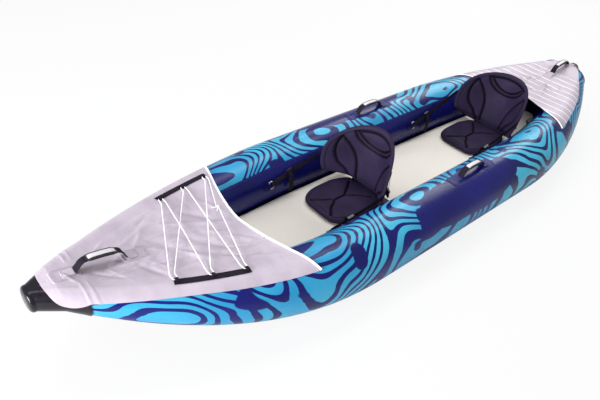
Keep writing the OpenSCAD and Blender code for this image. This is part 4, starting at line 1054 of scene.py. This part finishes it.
# seats: padded base and winged backrest, sewn along the lines below
seat = {"baseGap": 0.012, "baseLong": 0.304, "baseWide": 0.272, "baseThick": 0.044, "seamHigh": 0.013,
        "backHigh": 0.306, "backWide": 0.384, "backThick": 0.03, "wing": 0.15, "wingFrom": 0.008,
        "wingOver": 0.036, "widest": 0.12, "footWide": 0.3, "edge": 0.009, "groove": 0.0105,
        "grooveWide": 0.0042, "swellLimit": 0.005, "pressure": 4.0, "swellFrames": 20, "sewnWide": 0.0045,
        "backHeld": 0.013, "baseHeld": 0.01, "backRoll": 0.045, "baseRoll": 0.05, "backFade": (0.006, 0.01),
        "baseFade": (0.004, 0.012), "backHem": 0.0145, "baseHem": 0.013, "backHemDeep": 0.0024,
        "baseHemDeep": 0.002, "hemWide": 0.0022, "grooveShadeWide": 0.0052, "hemShade": 0.6, "hemShadeWide": 0.002,
        "outline": 2.2, "foot": 0.006, "crown": (0.003, 0.03, 0.04), "seamHalf": 0.435, "baseLift": 0.0011,
        "rimTop": 0.017, "rimLow": 0.009, "crownLess": 0.021, "binding": 0.005, "baseBinding": 0.0052,
        "bindingHigh": 0.013}
halfBack = seat["backWide"] / 2
seats = {"front": (0.176, 5.5), "rear": (-0.823, 20.0)}
leafLine = [(0.74, 0.228), (0.58, 0.190), (0.46, 0.152), (0.385, 0.112), (0.345, 0.066), (0.315, 0.012)]
leafBack = [(0.74, 0.228), (0.80, 0.190), (0.80, 0.140), (0.72, 0.092), (0.56, 0.058), (0.42, 0.012)]
badgeLine = [(-0.56, 0.262), (-0.44, 0.226), (-0.24, 0.204), (0.0, 0.197), (0.24, 0.204), (0.44, 0.226),
             (0.56, 0.262)]
badgeTop = [(-0.52, 0.262), (-0.26, 0.278), (0.0, 0.283), (0.26, 0.278), (0.52, 0.262)]
badgeInner = [(-0.49, 0.266), (-0.36, 0.240), (-0.19, 0.221), (0.0, 0.215), (0.19, 0.221), (0.36, 0.240),
              (0.49, 0.266)]
backSeams = [badgeLine, badgeInner, badgeTop] + [[(s * a, b) for a, b in line] for s in (-1, 1)
                                                 for line in (leafLine, leafBack)]
baseSeams = [[(0.12, -0.62), (0.30, -0.26), (0.45, 0.0), (0.30, 0.26), (0.12, 0.62)],
             [(0.45, 0.0), (0.70, 0.0)],
             [(0.96, -0.72), (0.86, -0.30), (0.70, 0.0), (0.86, 0.30), (0.96, 0.72)]]


def seamGap(px, py, lines):
    # distance of points from the nearest of some lines of points
    return np.min([fromSegment(px, py, *ends)[1] for line in lines for ends in zip(line, line[1:])], axis=0)


def stitched(near, gap, wide, fade):
    # full on a seam, and let out towards the rim
    return bell(near, wide) * clip01((gap - fade[0]) / fade[1])


def grooveShadeMarks(near, gap, face, fade, hemAt):
    # painted shade: full in the sewn grooves of the face, and less along the hem groove
    sewn = np.where(face, stitched(near, gap, seat["grooveShadeWide"], fade), 0)
    return sewn + seat["hemShade"] * bell(gap - hemAt, seat["hemShadeWide"])


def swell(name, shape, columns, rows, held):
    # blows cloth up a little between what the stitching holds, and returns how far each point went
    piece = laySurface(name, columns, rows, shape)
    count = len(piece.data.vertices)
    before = np.empty(count * 3, np.float32)
    piece.data.vertices.foreach_get("co", before)
    sewn = piece.vertex_groups.new(name="sewn")
    u = np.tile(np.linspace(0, 1, columns + 1), rows + 1)
    v = np.repeat(np.linspace(0, 1, rows + 1), columns + 1)
    sewn.add([int(i) for i in np.nonzero(held(u, v))[0]], 1.0, "REPLACE")
    cloth = piece.modifiers.new("cloth", "CLOTH")
    rules = cloth.settings
    rules.quality, rules.mass, rules.vertex_group_mass = 5, 0.3, "sewn"
    rules.tension_stiffness = rules.compression_stiffness = 15
    rules.shear_stiffness, rules.bending_stiffness = 8, 1
    rules.use_pressure, rules.uniform_pressure_force = True, seat["pressure"]
    rules.effector_weights.gravity = 0
    cloth.collision_settings.use_collision = False
    cloth.point_cache.frame_start, cloth.point_cache.frame_end = 1, seat["swellFrames"]
    for step in range(seat["swellFrames"]):
        scene.frame_set(step + 1)
    after = np.empty(count * 3, np.float32)
    piece.evaluated_get(bpy.context.evaluated_depsgraph_get()).data.vertices.foreach_get("co", after)
    move = (after - before).reshape(-1, 3).astype(float)
    far = np.linalg.norm(move, axis=1, keepdims=True)
    move *= np.minimum(1, seat["swellLimit"] / np.maximum(far, 1e-9))
    print(name, "swelled", round(float(far.max()) * 1000, 1), "mm at most, before the limit")
    bpy.data.objects.remove(piece)
    scene.frame_set(1)
    return move.reshape(rows + 1, columns + 1, 3)


def swollen(move, u, v):
    rows, columns = move.shape[0] - 1, move.shape[1] - 1
    i, j = np.minimum((u * columns).astype(int), columns - 1), np.minimum((v * rows).astype(int), rows - 1)
    a, b = (u * columns - i)[:, None], (v * rows - j)[:, None]
    return mix(mix(move[j, i], move[j, i + 1], a), mix(move[j + 1, i], move[j + 1, i + 1], a), b)


def seamHeight(hx):
    return floorTop(np.array(hx)) + seat["seamHigh"]


def backSpace(hx, lean, y, s, n):
    tip = math.radians(lean)
    bent = np.sin(np.pi / 2 * clip01((s - seat["wingFrom"]) / seat["wingOver"]))
    forward = seat["wing"] * (y / halfBack) ** 2 * bent + n
    return np.stack([hx - s * math.sin(tip) + forward * math.cos(tip), y,
                     seamHeight(hx) + s * math.cos(tip) + forward * math.sin(tip)], -1)


def backEdges(y):
    f = clip01((2 * np.abs(y) - seat["footWide"]) / (seat["backWide"] - seat["footWide"]))
    low = np.maximum(seat["foot"], seat["widest"] * (1 - np.sqrt(1 - f * f)))
    top = (1 - clip01(2 * np.abs(y) / seat["backWide"]) ** seat["outline"]) ** (1 / seat["outline"])
    return low, seat["widest"] + (seat["backHigh"] - seat["widest"]) * top


def padHalf(gap):
    roll = np.sqrt(1 - (1 - clip01(gap / seat["backRoll"])) ** 2)
    return seat["edge"] / 2 + (seat["backThick"] - seat["edge"]) / 2 * roll


def rimGap(y, s, rim):
    # distance from the pad's outline
    gap = np.full(y.shape, 9.0)
    for a, b in rim:
        gap = np.minimum(gap, np.hypot(y - a, s - b))
    return gap


def backRim(steps=160):
    a = np.linspace(-np.pi / 2, np.pi / 2, steps)
    y = halfBack * np.sin(a)
    low, high = backEdges(y)
    return np.vstack([np.stack([y, high], 1), np.stack([y, low], 1)[::-1]])


rim = backRim()
sewnBack = [curved([(a * halfBack, b) for a, b in line]) for line in backSeams]


def backrest(name):
    hx, lean = seats[name]

    def spot(u, v):
        y = halfBack * np.sin(np.pi * (u - 0.5))
        front = v <= 0.5
        w = 0.5 - 0.5 * np.cos(np.pi * np.where(front, 2 * v, 2 - 2 * v))
        low, high = backEdges(y)
        return y, mix(low, high, w), front

    def plain(u, v):
        y, s, front = spot(u, v)
        return backSpace(hx, lean, y, s, np.where(front, 1, -1) * padHalf(rimGap(y, s, rim)))

    def held(u, v):
        y, s, front = spot(u, v)
        near = seamGap(y, s, sewnBack)
        return (rimGap(y, s, rim) < seat["backHeld"]) | ((near < seat["sewnWide"]) & front)

    move = swell(name + "_back_swell", plain, 84, 84, held)

    def shape(u, v):
        y, s, front = spot(u, v)
        gap = rimGap(y, s, rim)
        near = seamGap(y, s, sewnBack)
        sewn = seat["groove"] * stitched(near, gap, seat["grooveWide"], seat["backFade"])
        hem = seat["backHemDeep"] * bell(gap - seat["backHem"], seat["hemWide"])
        rise, fromSeam, fromRim = seat["crown"]
        crown = 0 if np.any(move) else rise * clip01(near / fromSeam) * clip01(gap / fromRim)
        n = np.where(front, padHalf(gap) - sewn - hem + crown, -padHalf(gap) + hem)
        return backSpace(hx, lean, y, s, n) + swollen(move, u, v)

    # painted shade in the grooves, kept as the sewn attribute
    def marks(u, v):
        y, s, front = spot(u, v)
        return grooveShadeMarks(seamGap(y, s, sewnBack), rimGap(y, s, rim), front, seat["backFade"],
                         seat["backHem"])

    def chart(u, v):
        y, s, front = spot(u, v)
        return y, s + np.where(front, 0, 0.5)

    pad = laySurface(name + "_seat_back", 240, 320, shape, chart, True, marks)
    dress(pad, "seatCloth", name + "_backrest", [name + "_seat_back"], 180)
    line = np.vstack([rim[len(rim) // 2 + 80:], rim[:len(rim) // 2 + 81]])
    edge = backSpace(hx, lean, line[:, 0], line[:, 1], 0)
    trim = cordAlong(name + "_back_binding", edge, seat["binding"], 420, 12)
    dress(trim, "seatBinding", name + "_backrest", (), 180)
    return pad


sewnBase = [curved([(a, b * seat["seamHalf"]) for a, b in line]) for line in baseSeams]


def baseHalf(v):
    # half width from back to front: fuller in the middle, with rounded corners
    front = 1 - 0.34 * clip01((v - 0.55) / 0.45) ** 2.6
    body = seat["baseWide"] / 2 * (0.84 + 0.16 * ease(v / 0.4)) * front
    return body * (1 - np.abs(2 * v - 1) ** 11) ** (1 / 5)


def seatBase(name):
    hx, _ = seats[name]

    def spot(u, v):
        top = v <= 0.5
        w = 0.5 - 0.5 * np.cos(np.pi * np.where(top, 2 * v, 2 - 2 * v))
        return w, np.sin(np.pi * (u - 0.5)), top

    def inner(w, k):
        # how far in from the rim, in metres
        side = baseHalf(w) * (1 - np.abs(k))
        return np.minimum(side, np.minimum(w, 1 - w) * seat["baseLong"])

    def seams(w, k):
        return seamGap(w, -k * seat["seamHalf"], sewnBase) * seat["baseLong"]

    def place(w, k, z):
        x = hx + seat["baseGap"] + w * seat["baseLong"]
        return np.stack([x, -k * baseHalf(w), floorTop(x) + seat["baseLift"] + z], 1)

    def heights(w, k, top):
        crown = np.sqrt(1 - (1 - clip01(inner(w, k) / seat["baseRoll"])) ** 2)
        filled = seat["rimTop"] + (seat["baseThick"] - seat["crownLess"]) * crown * ease(0.35 + w * 1.6)
        return np.where(top, filled, seat["rimLow"] * (1 - ease(crown * 1.6)))

    def plain(u, v):
        w, k, top = spot(u, v)
        return place(w, k, heights(w, k, top))

    def held(u, v):
        w, k, top = spot(u, v)
        return (inner(w, k) < seat["baseHeld"]) | ((seams(w, k) < seat["sewnWide"]) & top) | ~top

    move = swell(name + "_base_swell", plain, 64, 84, held)

    def shape(u, v):
        w, k, top = spot(u, v)
        gap = inner(w, k)
        sewn = seat["groove"] * stitched(seams(w, k), gap, seat["grooveWide"], seat["baseFade"])
        hem = seat["baseHemDeep"] * bell(gap - seat["baseHem"], seat["hemWide"])
        z = heights(w, k, top) - np.where(top, sewn + hem, 0)
        return place(w, k, z) + swollen(move, u, v)

    # painted shade in the grooves, kept as the sewn attribute
    def marks(u, v):
        w, k, top = spot(u, v)
        return grooveShadeMarks(seams(w, k), inner(w, k), top, seat["baseFade"], seat["baseHem"])

    def chart(u, v):
        w, k, top = spot(u, v)
        return w * 0.3, k * 0.13 + np.where(top, 0, 0.5)

    pad = laySurface(name + "_seat_base", 200, 260, shape, chart, True, marks)
    dress(pad, "seatCloth", "hull", [name + "_seat_base"], 180)
    w = 0.5 - 0.5 * np.cos(np.linspace(0, np.pi, 120))
    one, high = np.ones_like(w), seat["bindingHigh"]
    ring = np.vstack([place(w, one, high), place(w, -one, high)[::-1]])
    trim = cordAlong(name + "_base_binding", np.vstack([ring, ring[:1]]), seat["baseBinding"], 320, 12)
    dress(trim, "seatBinding", "hull", (), 180)
    return pad


for name in seats:
    backrest(name)
    seatBase(name)
print("seats sewn")

# seat straps, from the rings on the tube walls through a ladder buckle to the back of a wing
strap = {"wide": 0.025, "thick": 0.0016, "wall": 15, "ringHigh": 0.0084, "wire": 0.005, "clear": 0.0003,
         "bight": 0.0095, "buckle": 0.12, "bar": 0.004, "tail": 0.092, "us": (1.03, 0.97, 0.9, 0.83),
         "v": 0.52, "off": 0.0022}

# cloth hinges and the webbing behind the backrests
hingeCloth = {"wide": 0.19, "thick": 0.0012}
backTail = {"u": 0.8, "vs": (0.82, 0.72, 0.62, 0.52, 0.42), "off": (0.0017, 0.003, 0.007, 0.012, 0.018),
            "wide": 0.024, "clip": (0.008, 0.027, 0.034)}


def seatHinge(name):
    hx, lean = seats[name]
    z, bed = float(seamHeight(hx)), 0.0009
    steps, foot = ((0, -0.006), (0, -0.001), (-0.003, 0.0032)), np.full(1, seat["foot"] - bed)
    low = np.array([(hx + seat["baseGap"] - bed + dx, 0, z + dz) for dx, dz in steps])
    high = np.vstack([backSpace(hx, lean, np.zeros(1), foot, n) for n in (0.004, -0.005)])
    line = np.hstack([np.vstack([low, high]), np.tile((0.0, 1.0, 0.0), (5, 1))])
    strip = strapAlong(name + "_seat_hinge", roundedLine(line, 0.004), hingeCloth["wide"],
                       hingeCloth["thick"], 30, 60)
    dress(strip, "webbing", None, [name + "_seat_hinge"])
    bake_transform(strip)


def backTails(name):
    hx, lean = seats[name]
    parts, clips = [], []
    for side in (-1, 1):
        vs, off = np.array(backTail["vs"]), np.array(backTail["off"])
        rows = []
        for e in (-1, 0, 1):
            y = np.full(5, side * (backTail["u"] + e * 0.04) * halfBack)
            low, high = backEdges(y)
            s = mix(low, high, vs)
            rows.append(backSpace(hx, lean, y, s, -seat["backThick"] / 2 - off))
        line = roundedLine(np.hstack([rows[1], rows[2] - rows[0]]), 0.02)
        parts.append(strapAlong(name + "_tail", line, backTail["wide"], strap["thick"], 40))
        deep, wide, long = backTail["clip"]
        end = rows[1][-1] - np.array((0, 0, long / 2))
        turn = math.radians(-30 * side)

        def block(u, v):
            t, k = closing(u, 40, 3)
            s = mix(-0.5, 0.5, t) * long
            pinch = 1 - 0.16 * bell(s, 0.006)
            y, x, _ = boxSection(v, wide / 2 * pinch, deep / 2, 0.002)
            x, y = x * k, y * k
            return end + np.stack([x * math.cos(turn) - y * math.sin(turn),
                                   x * math.sin(turn) + y * math.cos(turn), s], 1)

        clips.append(laySurface(name + "_clip", 40, 32, block, None, True))
    dress(joined(name + "_seat_tails", parts), "webbing", name + "_backrest",
          [name + "_seat_tails"])
    dress(joined(name + "_seat_clips", clips), "mouldedBlack", name + "_backrest")


for name in seats:
    seatHinge(name)
    backTails(name)

rings = {"front": (0.621, 13), "rear": (-0.347, 14)}


def wallFrame(x, pitch):
    # place and axes of a strap ring on the starboard wall: along the strap, up the wall and out of it
    wall, near = math.radians(strap["wall"]), 0.005
    x3 = np.array((x, x + near, x - near))
    y, later, sooner = tubeRadius(x3) * math.cos(wall) - tubeAxis(x3)
    place = np.array((x, y, tubeHeight(x3)[0] + tubeRadius(x3)[0] * math.sin(wall)))
    yaw, ahead = math.atan2(later - sooner, 2 * near), math.radians(180 + pitch)
    steps = ((yaw, "Z"), (wall - math.pi / 2, "X"), (ahead, "Z"))
    turns = [Matrix.Rotation(a, 3, axis) for a, axis in steps]
    return place, np.array(turns[0] @ turns[1] @ turns[2])


def seatStrap(name, side):
    hx, lean = seats[name]
    x, pitch = rings[name]
    place, turn = wallFrame(x, pitch)
    high = strap["ringHigh"] + strap["wire"] / 2 + strap["thick"] / 2 + strap["clear"]
    under = strap["ringHigh"] - strap["wire"] / 2 - strap["thick"] / 2 - strap["clear"]
    bight, b = strap["bight"], strap["buckle"]
    head = [(0.072, under + 0.001), (bight + 0.005, under), (bight + 0.001, under + 0.0015),
            (bight, strap["ringHigh"]), (bight + 0.001, high - 0.0015), (bight + 0.005, high),
            (b - 0.02, high), (b + 0.02, high)]
    run = [place + turn @ np.array((p, 0, h)) for p, h in head]
    up = turn @ np.array((0, 1.0, 0))
    backUp = np.array((-math.sin(math.radians(lean)), 0, math.cos(math.radians(lean))))
    wing = []
    for u in strap["us"]:
        e = np.array(min(u, 0.985) * halfBack)
        low, highEdge = backEdges(e)
        behind = float(padHalf(max(0, 1 - u) * halfBack)) + strap["off"]
        s = mix(low, highEdge, strap["v"])
        wing.append(backSpace(hx, lean, np.array(-u * halfBack), s, -behind))
    line = np.array([np.r_[p, up] for p in run] + [np.r_[p, backUp] for p in wing])
    top = high + strap["bar"] + strap["thick"] + 3 * strap["clear"]
    start = place + turn @ np.array((b + 0.009, 0, top))
    fall = place + turn @ np.array((b - 0.008, 0, top + 0.002))
    t = strap["tail"]
    drops = [(-0.002, 0.007, -0.009), (-0.004, 0.010, -0.026), (-0.005, 0.011, -0.6 * t),
             (-0.003, 0.009, -t)]
    loose = np.array([np.r_[start, up], np.r_[fall, up + (0.5, 0, 0)]]
                     + [np.r_[fall + np.array(p), 1, 0, 0.05] for p in drops])
    if side > 0:
        line, loose = line * (1, -1, 1, 1, -1, 1), loose * (1, -1, 1, 1, -1, 1)
    where = "port" if side > 0 else "starboard"
    parts = [strapAlong("strap", roundedLine(line, 0.012), strap["wide"], strap["thick"], 200),
             strapAlong("tail", roundedLine(loose, 0.01), strap["wide"], strap["thick"], 60)]
    piece = dress(joined(f"{name}_{where}_strap", parts), "webbing", None,
                  [f"{name}_{where}_strap"])
    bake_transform(piece)


for name in seats:
    for side in (1, -1):
        seatStrap(name, side)
print("straps drawn in")

# solids that keep their shape, with their own finishes
kept = {"ring_patches": "plainSkin", "strap_rings": "brightWire"}
for name in seats:
    for where in ("port", "starboard"):
        kept[f"{name}_{where}_buckle"] = "darkSteel"
for where in ("port", "starboard", "floor"):
    kept |= {f"{where}_valve_body": "mouldedBlack", f"{where}_valve_cap": "mouldedBlack",
             f"{where}_valve_stem": "mouldedWhite"}
for name, finish in kept.items():
    nodes[name].data.materials.clear()
    nodes[name].data.materials.append(finishes[finish])

# springs in the valves, under their stems: one fixed coil along each stem's axis
spring = {"coil": 0.004, "wire": 0.0005, "turns": 4, "reach": 0.55, "steps": 120}
press = "_stem_press"
valves = {j["name"].replace(press, ""): j["axis"] for j in frame["joints"] if j["name"].endswith(press)}


def valveSpring(name):
    axis = np.array(valves[name], float)
    low, high = (np.array(v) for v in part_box(name + "_valve_spring"))
    side = unit(np.cross(axis, (0.0, 1.0, 0.0) if name == "floor" else (1.0, 0, 0)))
    other = np.cross(axis, side)
    middle = (low + high) / 2
    reach = (abs(float(np.dot(high - low, np.abs(axis)))) / 2 - spring["coil"] * 0.5) * spring["reach"]
    a = np.linspace(0, 2 * np.pi * spring["turns"], spring["steps"])[:, None]
    t = np.linspace(-1, 1, spring["steps"])[:, None] * reach
    line = middle + t * axis + spring["coil"] * (np.cos(a) * side + np.sin(a) * other)
    coil = cordAlong(name + "_valve_spring", line, spring["wire"], 160, 8)
    dress(coil, "brightWire", None, [name + "_valve_spring"])
    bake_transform(coil)


for name in valves:
    valveSpring(name)
print("valves fitted")

# floor and light
stage = {"floor": 30, "under": -0.0008, "paper": (0.7, 0.7, 0.71, 1), "sky": 0.46, "white": 0.86, "lamps": {
    "key": ((-0.4, -0.9, 3.8), (-0.2, 0, 0.1), (5.0, 1.0), 78),
    "front": ((5.2, 0.4, 1.6), (0.2, 0, 0.25), (2.4, 1.6), 380),
    "back": ((-3.9, -1.9, 3.0), (-0.2, 0, 0.2), (3.4, 1.4), 84)}}


def setStage():
    bpy.ops.object.select_all(action="DESELECT")
    bpy.ops.mesh.primitive_plane_add(size=stage["floor"], location=(0, 0, stage["under"]))
    floor = bpy.context.object
    floor.name = "paperFloor"
    material = bpy.data.materials.new("paper")
    material.use_nodes = True
    material.node_tree.nodes.clear()
    w = Wire(material.node_tree)
    paper = w.node("ShaderNodeBsdfDiffuse", values={"Color": stage["paper"]})
    glow = w.node("ShaderNodeEmission", values={"Color": (1, 1, 1, 1), "Strength": 1.0})
    seen = w.node("ShaderNodeLightPath", output="Is Camera Ray")
    both = w.node("ShaderNodeMixShader", values={0: seen * stage["white"], 1: paper, 2: glow})
    w.node("ShaderNodeOutputMaterial", values={"Surface": both})
    floor.data.materials.append(material)
    world = bpy.data.worlds.new("studio")
    scene.world = world
    world.use_nodes = True
    world.node_tree.nodes.clear()
    w = Wire(world.node_tree)
    white = w.node("ShaderNodeLightPath", output="Is Camera Ray")
    strength = white * (1 - stage["sky"]) + stage["sky"]
    sky = w.node("ShaderNodeBackground", values={"Color": (1, 1, 1, 1), "Strength": strength})
    w.node("ShaderNodeOutputWorld", values={"Surface": sky})
    for name, (place, aim, size, energy) in stage["lamps"].items():
        bpy.ops.object.light_add(type="AREA", location=place)
        lamp = bpy.context.object
        lamp.name = name
        lamp.data.shape = "RECTANGLE"
        lamp.data.size, lamp.data.size_y = size
        lamp.data.energy = energy
        lamp.rotation_euler = (Vector(aim) - Vector(place)).to_track_quat("-Z", "Y").to_euler()


setStage()
print("scene ready")
